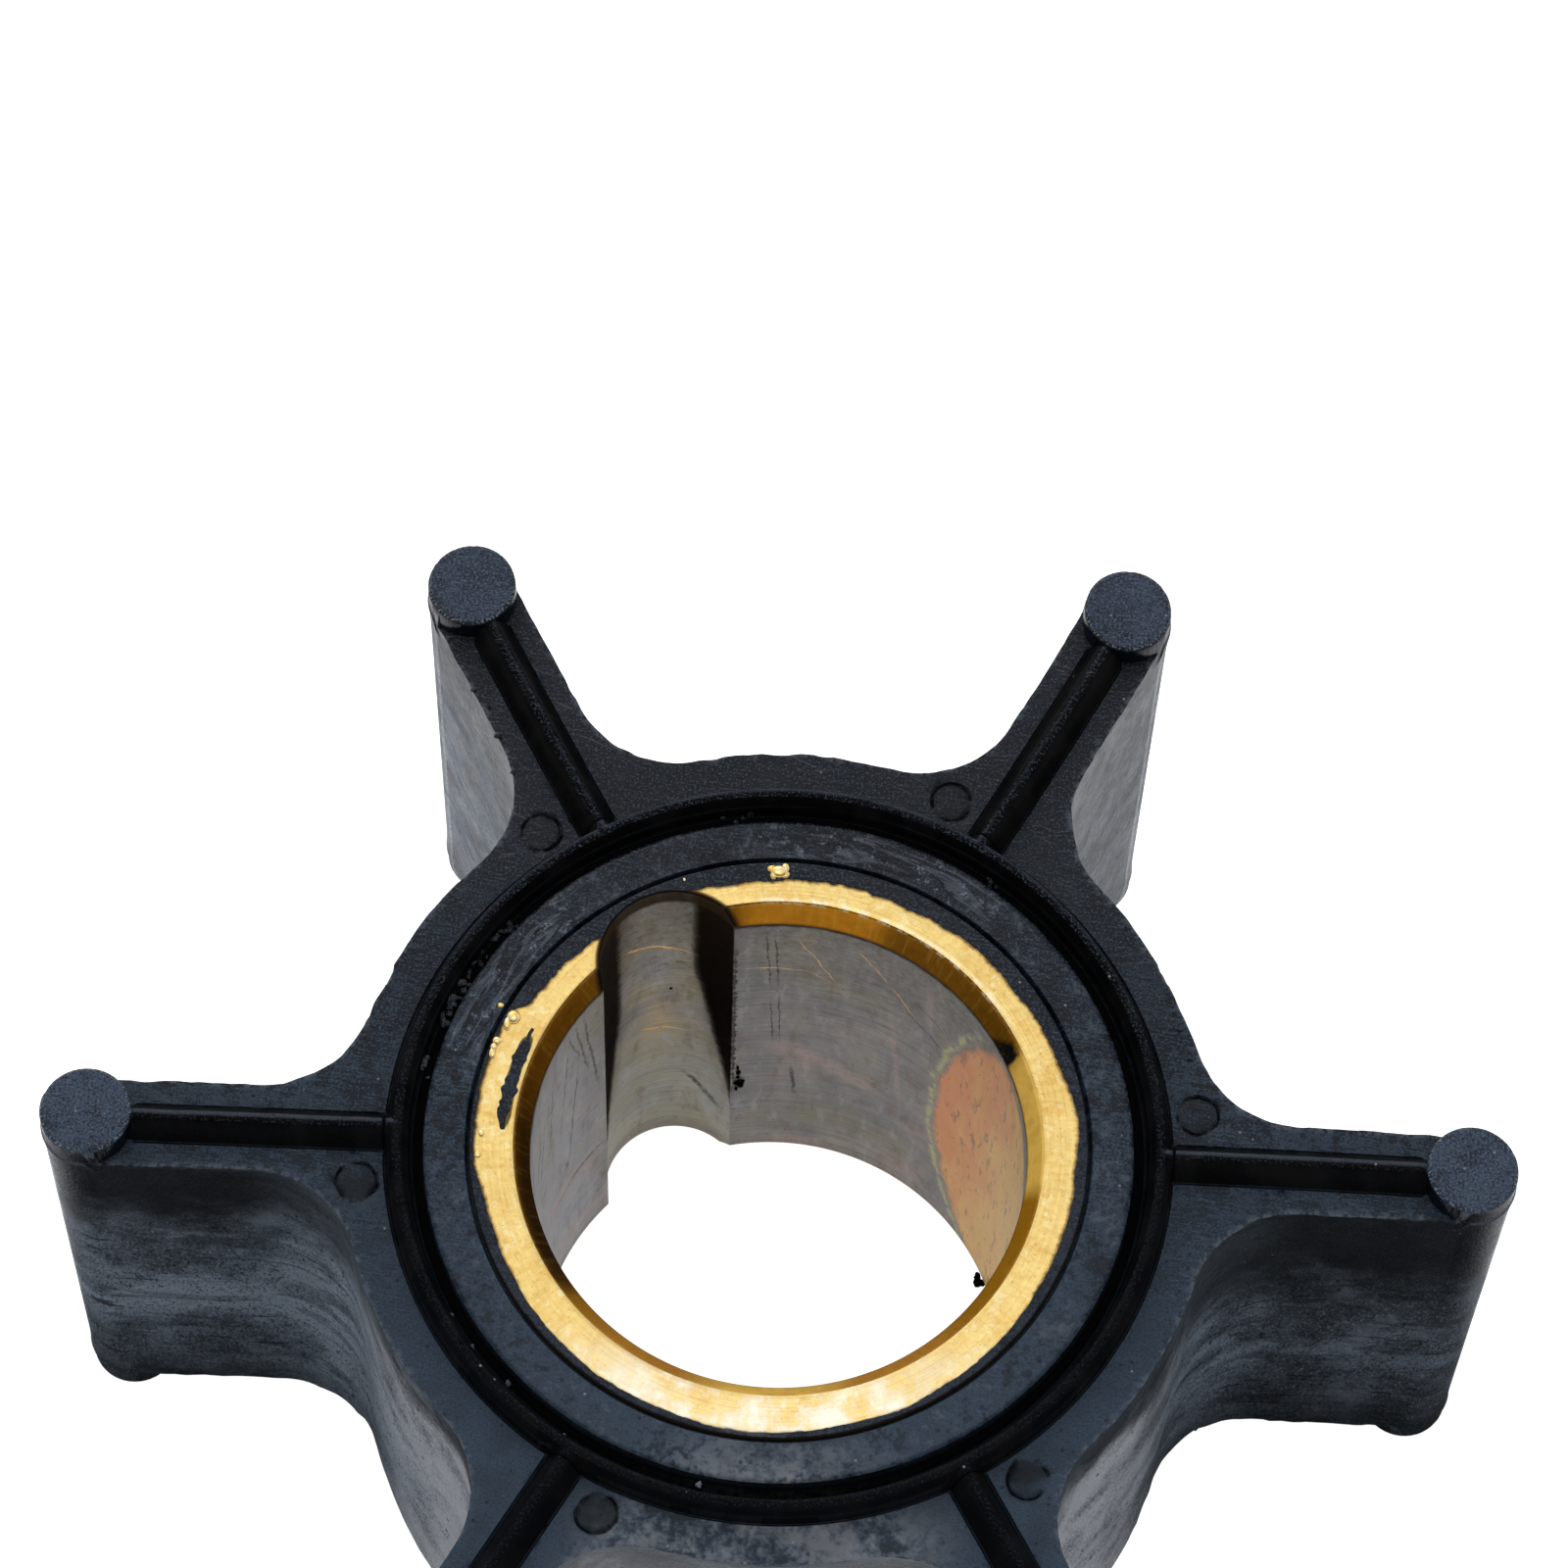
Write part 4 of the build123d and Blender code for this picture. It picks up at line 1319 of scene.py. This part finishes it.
def bush_mesh(material):
    """The turned bush as one grid of columns round the bore, its keyway cut by moving the bore wall out."""
    corner = BORE_RADIUS ** 2 + KEYWAY_CENTRE ** 2 - KEYWAY_RADIUS ** 2
    corner = math.acos(corner / (2 * BORE_RADIUS * KEYWAY_CENTRE))
    in_key = np.linspace(-corner, corner, KEYWAY_COLUMNS)
    plain = np.linspace(corner, math.tau - corner, BORE_COLUMNS)[1:-1]
    turn = np.concatenate((in_key, plain))
    keyway = np.where(np.abs(turn) <= corner + 1e-9, keyway_wall(turn), 0)
    wall = np.maximum(keyway, BORE_RADIUS)
    lip = np.maximum(BORE_RADIUS + MOUTH_WIDTH, wall + 0.06)
    drop = (lip - wall) * MOUTH_DEPTH / MOUTH_WIDTH
    angle = turn + KEYWAY_ANGLE
    rings = [(np.full_like(wall, BUSH_RADIUS), 0.16), (np.full_like(wall, BUSH_RADIUS - 0.03), 0.04)]
    rings += [(np.full_like(wall, BUSH_RADIUS - 0.12), 0.0)]
    for share in np.linspace(0.05, 0.985, 9):
        rings.append(((BUSH_RADIUS - 0.12) * (1 - share) + lip * share, 0.0))
    rings.append((lip * 1.0, 0.012))
    for share in (0.15, 0.5, 0.85):
        rings.append((lip * (1 - share) + wall * share, drop * share))
    rings.append((wall + 0.004, drop * 0.985))
    rings.append((wall, drop + 0.03))
    upper = [(radius, BUSH_HIGH - depth) for radius, depth in rings]
    lower = [(radius, BUSH_LOW + depth) for radius, depth in reversed(rings)]
    bore_top, bore_foot = BUSH_HIGH - MOUTH_DEPTH - 0.1, BUSH_LOW + MOUTH_DEPTH + 0.1
    deep = [(wall, bore_top * (1 - share) + bore_foot * share) for share in np.linspace(0, 1, 24)]
    outside = np.full_like(wall, BUSH_RADIUS)
    outer = [(outside, BUSH_LOW * (1 - share) + BUSH_HIGH * share) for share in (0.25, 0.5, 0.75)]
    rows = upper + deep + lower + outer
    count = len(turn)
    points = np.vstack([
        np.column_stack((radius * np.cos(angle), radius * np.sin(angle), np.broadcast_to(z, count)))
        for radius, z in rows
    ])
    faces = []
    for row in range(len(rows)):
        below = (row + 1) % len(rows)
        for i in range(count):
            j = (i + 1) % count
            faces.append((row * count + i, row * count + j, below * count + j, below * count + i))
    piece = mesh_object("turned_bush", points, faces, material)
    turns, edge = film_line(1)
    beside = np.interp((angle + math.pi) % math.tau - math.pi, turns, edge, period=math.tau)
    stained = np.tile(beside, len(rows))
    piece.data.attributes.new("film_edge", "FLOAT", "POINT").data.foreach_set("value", stained)
    return piece


def ribbon(name, angles, inner, outer, end, upward, material, thickness=0.035):
    """A thin skin of rubber lying on the end of the bush, between two lines round the bore."""
    level = np.full(len(angles), end)
    inside_edge = np.minimum(inner + 0.07, (inner + outer) / 2)
    outside_edge = np.maximum(outer - 0.05, (inner + outer) / 2)
    rows = (
        (inner, level + 0.003 * upward), (inner + 0.015, level + thickness * 0.7 * upward),
        (inside_edge, level + thickness * upward), (outside_edge, level + thickness * upward),
        (outer, level + thickness * 0.4 * upward), (outer, level + 0.003 * upward),
    )
    points = np.vstack([
        np.column_stack((radius * np.cos(angles), radius * np.sin(angles), height)) for radius, height in rows
    ])
    count = len(angles)
    closed = abs(angles[-1] - angles[0]) > math.tau * 0.98
    faces = []
    for row in range(len(rows)):
        above = (row + 1) % len(rows)
        for i in range(count if closed else count - 1):
            j = (i + 1) % count
            quad = (row * count + i, above * count + i, above * count + j, row * count + j)
            faces.append(quad if upward > 0 else quad[::-1])
    if not closed:
        start = tuple(row * count for row in range(len(rows)))
        finish = tuple(row * count + count - 1 for row in range(len(rows)))
        faces += [start[::-1], finish] if upward > 0 else [start, finish[::-1]]
    piece = mesh_object(name, points, faces, material)
    piece.data.attributes.new("mould", "FLOAT_VECTOR", "POINT").data.foreach_set("vector", points.ravel())
    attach(piece, "root")
    return piece


def dress_film(material):
    """The flash that crept over both ends of the bush, its ragged edge, and one smear torn loose from it."""
    films = (("flash_film_upper", BUSH_HIGH, 1, 21), ("flash_film_lower", BUSH_LOW, -1, 22))
    for name, end, upward, seed in films:
        angles, inner = film_line(upward)
        count = len(angles)
        in_key = np.abs(np.degrees(angles) - math.degrees(KEYWAY_ANGLE)) < 17.5
        keyway = np.where(in_key, keyway_wall(angles - KEYWAY_ANGLE) + 0.05, 0)
        inner = np.maximum(inner, keyway)
        outer = np.full(count, CRACK_RADIUS) + random_line(count, 12, seed + 3) * 0.012
        ribbon(name, angles, inner, outer, end, upward, material)
    lay_smear(material)


def lay_smear(material):
    """The smear of rubber that lies by itself on the upper end of the bush."""
    count = SMEAR_POINTS
    turns, middles = zip(*SMEAR)
    angles = np.radians(np.linspace(turns[0], turns[-1], count))
    middle = np.interp(np.degrees(angles), turns, middles)
    taper = np.sin(np.linspace(0.12, math.pi - 0.12, count)) ** 0.6
    shares, halves = zip(*SMEAR_HALF)
    body = np.interp(np.linspace(0, 1, count), shares, halves)
    half = (body + random_line(count, 7, 31) * 0.09 + random_line(count, 3, 33) * 0.06) * taper
    shift = random_line(count, 6, 32) * 0.06
    inner, outer = middle + shift - half, middle + shift + half
    ribbon("rubber_smear", angles, inner, outer, BUSH_HIGH, 1, material, 0.03)


# lumps of rubber left on the part: degrees round, mm from the axis, height, size
CRUMBS = (
    (24.4, 11.10, 0.80, 0.22), (25.8, 11.12, 0.95, 0.18), (100.9, 11.18, 11.8, 0.12),
    (100.7, 11.17, 11.2, 0.15), (100.9, 11.18, 10.6, 0.13), (100.5, 11.16, 9.9, 0.24),
    (101.2, 11.18, 9.2, 0.13), (26.2, 11.36, 28.74, 0.10), (28.4, 11.42, 28.82, 0.12),
    (113.8, 13.42, 18.3, 0.15),
)
# dust in the gap outside the collar: from and to, degrees round, and how many grains
RING_DUST = ((139.0, 161.0, 30), (166.0, 172.0, 5), (96.0, 103.0, 4), (52.0, 58.0, 4), (205.0, 240.0, 5))
# grains on the end face: x, y and z of the middle, size
FACE_GRAINS = (
    (-2.87, -16.32, 30.16, 0.17), (12.84, 24.02, 29.06, 0.10), (13.30, 24.80, 29.06, 0.12),
    (12.40, 23.09, 29.05, 0.09), (17.62, 7.40, 29.05, 0.11), (17.90, 6.55, 29.05, 0.12),
    (18.36, 5.13, 29.05, 0.09), (15.40, 11.50, 29.05, 0.10), (-14.92, 22.10, 29.05, 0.12),
    (-14.20, 21.30, 29.05, 0.10), (-13.70, 19.80, 29.05, 0.14), (-12.90, 18.00, 29.05, 0.12),
)


def lump(centre, size, rng, flat=1.0):
    """A small uneven lump as points and triangles; flat squashes its height."""
    shape = bmesh.new()
    bmesh.ops.create_icosphere(shape, subdivisions=2, radius=size)
    shape.verts.ensure_lookup_table()
    stretch = rng.uniform(0.7, 1.25, 3) * (1, 1, flat)
    points = []
    waves = 0.30 * flat
    for vertex in shape.verts:
        swell = waves * math.sin(vertex.co.x * 9 / size + stretch[0] * 20)
        swell = 1 + swell * math.sin(vertex.co.z * 7 / size + 1)
        points.append(np.array(vertex.co) * stretch * (swell + rng.uniform(-0.12, 0.12) * flat) + centre)
    faces = [[vertex.index for vertex in face.verts] for face in shape.faces]
    shape.free()
    return points, faces


def scatter(name, lumps, material, seed, flat=1.0):
    """Joins lumps, each a centre and a size, into one piece; flat squashes their height."""
    rng = np.random.default_rng(seed)
    points, faces = [], []
    for centre, size in lumps:
        more, rows = lump(np.array(centre), size, rng, flat)
        faces += [[index + len(points) for index in row] for row in rows]
        points += more
    points = np.array(points)
    piece = mesh_object(name, points, faces, material)
    piece.data.attributes.new("mould", "FLOAT_VECTOR", "POINT").data.foreach_set("vector", points.ravel())
    soften(piece, 80)
    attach(piece, "root")
    return piece


def smeared_brass():
    """Soft bright brass, for the small lumps pressed out over the film."""
    material, tree, shader = finish_tree("smeared_brass")
    spread = noise(tree, millimetres(tree), 3.0, 1.0)
    colour = blend(tree, spread.ramp(0.4, 0.6), NUB_GOLD, NUB_PALE)
    tree.links.new(colour.socket, shader.inputs["Base Color"])
    shader.inputs["Metallic"].default_value = 0.9
    shader.inputs["Roughness"].default_value = 0.3
    return material


# small lumps of brass on the bush end: degrees round, mm from the axis, mm across
NUBS = (
    (155.2, 13.42, 0.34), (157.0, 13.52, 0.26), (160.9, 13.60, 0.24), (162.3, 13.64, 0.20),
    (163.6, 13.58, 0.22), (154.2, 14.20, 0.12), (-175.4, 13.44, 0.18), (-179.8, 13.30, 0.14),
    (92.1, 13.36, 0.34), (93.3, 13.50, 0.22), (90.9, 13.22, 0.22), (90.9, 13.52, 0.20),
    (93.2, 13.20, 0.24), (110.6, 13.62, 0.10),
)


def round_bore(degrees, radius, height):
    """A place by its angle, its distance from the bore's axis and its height."""
    turn = math.radians(degrees)
    return (radius * math.cos(turn), radius * math.sin(turn), height)


def dress_nubs(material):
    """The small lumps of brass pressed out over the film."""
    lumps = [(round_bore(degrees, radius, BUSH_HIGH + 0.02), size) for degrees, radius, size in NUBS]
    scatter("brass_nubs", lumps, material, 45, 0.35)


def dress_crumbs(black, dusty):
    """Crumbs of rubber at the bore, dust in the gap outside the collar, and grains on the end face."""
    lumps = [(round_bore(degrees, radius, height), size) for degrees, radius, height, size in CRUMBS]
    scatter("rubber_crumbs", lumps, black, 41)
    rng = np.random.default_rng(42)
    lumps = []
    for start, end, count in RING_DUST:
        for turn in np.radians(rng.uniform(start, end, count)):
            radius = rng.uniform(16.05, 16.6)
            centre = (radius * math.cos(turn), radius * math.sin(turn), HIGH_FACE - 0.05)
            lumps.append((centre, rng.uniform(0.08, 0.22)))
    scatter("ring_dust", lumps, dusty, 43)
    scatter("face_grains", [((x, y, z), size) for x, y, z, size in FACE_GRAINS], dusty, 44)


def soften(piece, angle):
    """Smooth shading, with edges kept crisp past an angle."""
    piece.data.shade_smooth()
    piece.data.set_sharp_from_angle(angle=math.radians(angle))


# ---- floor, lamps and camera --------------------------------------------------------------------

FLOOR_WHITE = (0.85, 0.85, 0.85)
FLOOR_SHADE = (0.05, 0.05, 0.05)
FLOOR_HALF = 3000
FLOOR_DROP = 0.02


def floor_finish():
    """A white that glows to the camera, with a painted shadow in front of the impeller, darker where it would
    light the near walls from below.
    """
    material, tree, shader = finish_tree("white_table")
    shader.inputs["Roughness"].default_value = 0.9
    x, y, _ = millimetres(tree).parts()
    shade = (y + 13.0).size().fall(12.0, 20.0) * x.size().ramp(15.0, 20.0) * x.size().fall(38.0, 50.0)
    grey = blend(tree, shade * 0.95, FLOOR_WHITE, FLOOR_SHADE)
    tree.links.new(grey.socket, shader.inputs["Base Color"])
    rays = tree.nodes.new("ShaderNodeLightPath")
    camera_ray = Term(tree, rays.outputs["Is Camera Ray"])
    glossy_ray = Term(tree, rays.outputs["Is Glossy Ray"])
    through_ray = Term(tree, rays.outputs["Is Transmission Ray"])
    glow = camera_ray * 1.0 + (glossy_ray + through_ray) * (0.45 - shade * 0.45)
    shader.inputs["Emission Color"].default_value = (1, 1, 1, 1)
    feed(tree, glow, shader.inputs["Emission Strength"])
    return material


def lay_floor():
    """A wide floor just under the lower bulb ends."""
    signs = ((-1, -1), (1, -1), (1, 1), (-1, 1))
    corners = [(x * FLOOR_HALF, y * FLOOR_HALF, -FLOOR_DROP) for x, y in signs]
    floor = mesh_object("white_floor", corners, [(0, 1, 2, 3)], floor_finish())


SKY_COLOUR = (0.94, 0.98, 1.06, 1)


def hang_lamp(name, place, size, power):
    """A soft square lamp aimed at the impeller; place and size in metres."""
    lamp = bpy.data.lights.new(name, "AREA")
    lamp.shape = "SQUARE"
    lamp.size = size
    lamp.energy = power
    holder = bpy.data.objects.new(name, lamp)
    holder.location = place
    aim = Vector((0, 0, 0.015)) - Vector(place)
    holder.rotation_euler = aim.to_track_quat("-Z", "Y").to_euler()
    bpy.context.scene.collection.objects.link(holder)


def light_room():
    """A soft sky, bright overhead and behind, with a pale band low down, and one large lamp behind."""
    world = bpy.data.worlds.new("room")
    world.use_nodes = True
    tree = world.node_tree
    direction = tree.nodes.new("ShaderNodeTexCoord")
    _, y, z = Term(tree, direction.outputs["Generated"]).parts()
    dome = (y * 0.6 + z * 0.8).ramp(0.2, 0.88, 0.008, 0.72)
    patch = (y * 0.14 + z * 0.99).ramp(0.925, 0.99) * 1.0
    low_band = z.ramp(0.44, 0.56, 1.1, 0.0) * z.ramp(-0.02, 0.0)
    glow = (dome + patch).most(low_band)
    background = tree.nodes["Background"]
    background.inputs["Color"].default_value = SKY_COLOUR
    feed(tree, glow, background.inputs["Strength"])
    bpy.context.scene.world = world
    hang_lamp("window", (-0.25, 0.75, 0.50), 0.6, 1.5)


CAMERA_PLACE = (-0.393, -105.001, 263.375 + HIGH_FACE)
CAMERA_PITCH = 64.967
CAMERA_ROLL = 2.225
CAMERA_TURN = 0.137
FOCAL_SHARE = 6455 / 1600
SENSOR_WIDTH = 36


def set_camera():
    """The camera, looking down along +Y; its focal length is a share of the frame's width."""
    camera = bpy.data.cameras.new("camera")
    camera.sensor_width = SENSOR_WIDTH
    camera.lens = SENSOR_WIDTH * FOCAL_SHARE
    camera.clip_start = 0.01
    camera.clip_end = 20
    pitch = math.radians(CAMERA_PITCH)
    roll = math.radians(CAMERA_ROLL)
    forward = Vector((0, math.cos(pitch), -math.sin(pitch)))
    right = Vector((1, 0, 0))
    up = Vector((0, math.sin(pitch), math.cos(pitch)))
    tilted_right = right * math.cos(roll) + up * math.sin(roll)
    tilted_up = up * math.cos(roll) - right * math.sin(roll)
    matrix = Matrix((tilted_right, tilted_up, -forward)).transposed().to_4x4()
    matrix.translation = Vector(CAMERA_PLACE) * MM
    holder = bpy.data.objects.new("camera", camera)
    holder.matrix_world = Matrix.Rotation(math.radians(CAMERA_TURN), 4, "Z") @ matrix
    bpy.context.scene.collection.objects.link(holder)
    bpy.context.scene.camera = holder


# ---- putting it together ------------------------------------------------------------------------

FINAL_SPACING = 0.27


def sort_beads(mesh, shaded_bead_material):
    """Gives the faces that lie wholly on a bead their own material, a darker copy of the rubber that paints
    the shade on the beads.
    """
    on_bead = np.empty(len(mesh.vertices))
    mesh.attributes["bead"].data.foreach_get("value", on_bead)
    mesh.materials.append(shaded_bead_material)
    corners = np.empty(len(mesh.loops), dtype=np.int32)
    mesh.loops.foreach_get("vertex_index", corners)
    starts = np.empty(len(mesh.polygons), dtype=np.int32)
    mesh.polygons.foreach_get("loop_start", starts)
    least = np.minimum.reduceat(on_bead[corners], starts)
    mesh.polygons.foreach_set("material_index", (least > 0.5).astype(np.int32))


def dress_rubber(material, shaded_bead_material):
    """The moulded body: a worn blank, raised by the relief tree."""
    spacing = FINAL_SPACING
    points, faces, lifts, edge, outline, rims, partings = blank(spacing)
    worn = bent(with_parting(ragged(points.copy(), outline, rims), outline, partings))
    piece = mesh_object("moulded_rubber", worn, faces)
    piece.data.attributes.new("mould", "FLOAT_VECTOR", "POINT").data.foreach_set("vector", points.ravel())
    piece.data.attributes.new("lift", "FLOAT", "POINT").data.foreach_set("value", lifts)
    piece.data.attributes.new("edge", "FLOAT", "POINT").data.foreach_set("value", edge)
    tree, sizes = relief_tree(material)
    grown(piece, tree, sizes)
    sort_beads(piece.data, shaded_bead_material)
    soften(piece, 40)
    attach(piece, "root")
    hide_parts("rubber_impeller")


def dress_bush(material):
    """The turned bush."""
    piece = bush_mesh(material)
    soften(piece, 30)
    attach(piece, "root")
    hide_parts("brass_bush")


rubber = rubber_finish("black_rubber", RUBBER_DARK, RUBBER_PALE)
film = rubber_finish("rubber_film", FILM_DARK, FILM_PALE)
# the beads take a darker copy of the rubber with a weaker reflection, painted shade; the crumbs take it too
beads = rubber_finish("shaded_bead_rubber", BEAD_SHADED_DARK, BEAD_SHADED_PALE, BEAD_IOR)
brass = brass_finish()
dress_rubber(rubber, beads)
dress_bush(brass)
dress_film(film)
dress_crumbs(beads, rubber_finish("dusty_rubber", DUST_DARK, DUST_PALE))
dress_nubs(smeared_brass())
lay_floor()
light_room()
set_camera()

bpy.context.scene.view_settings.view_transform = "Standard"

bpy.context.view_layer.update()
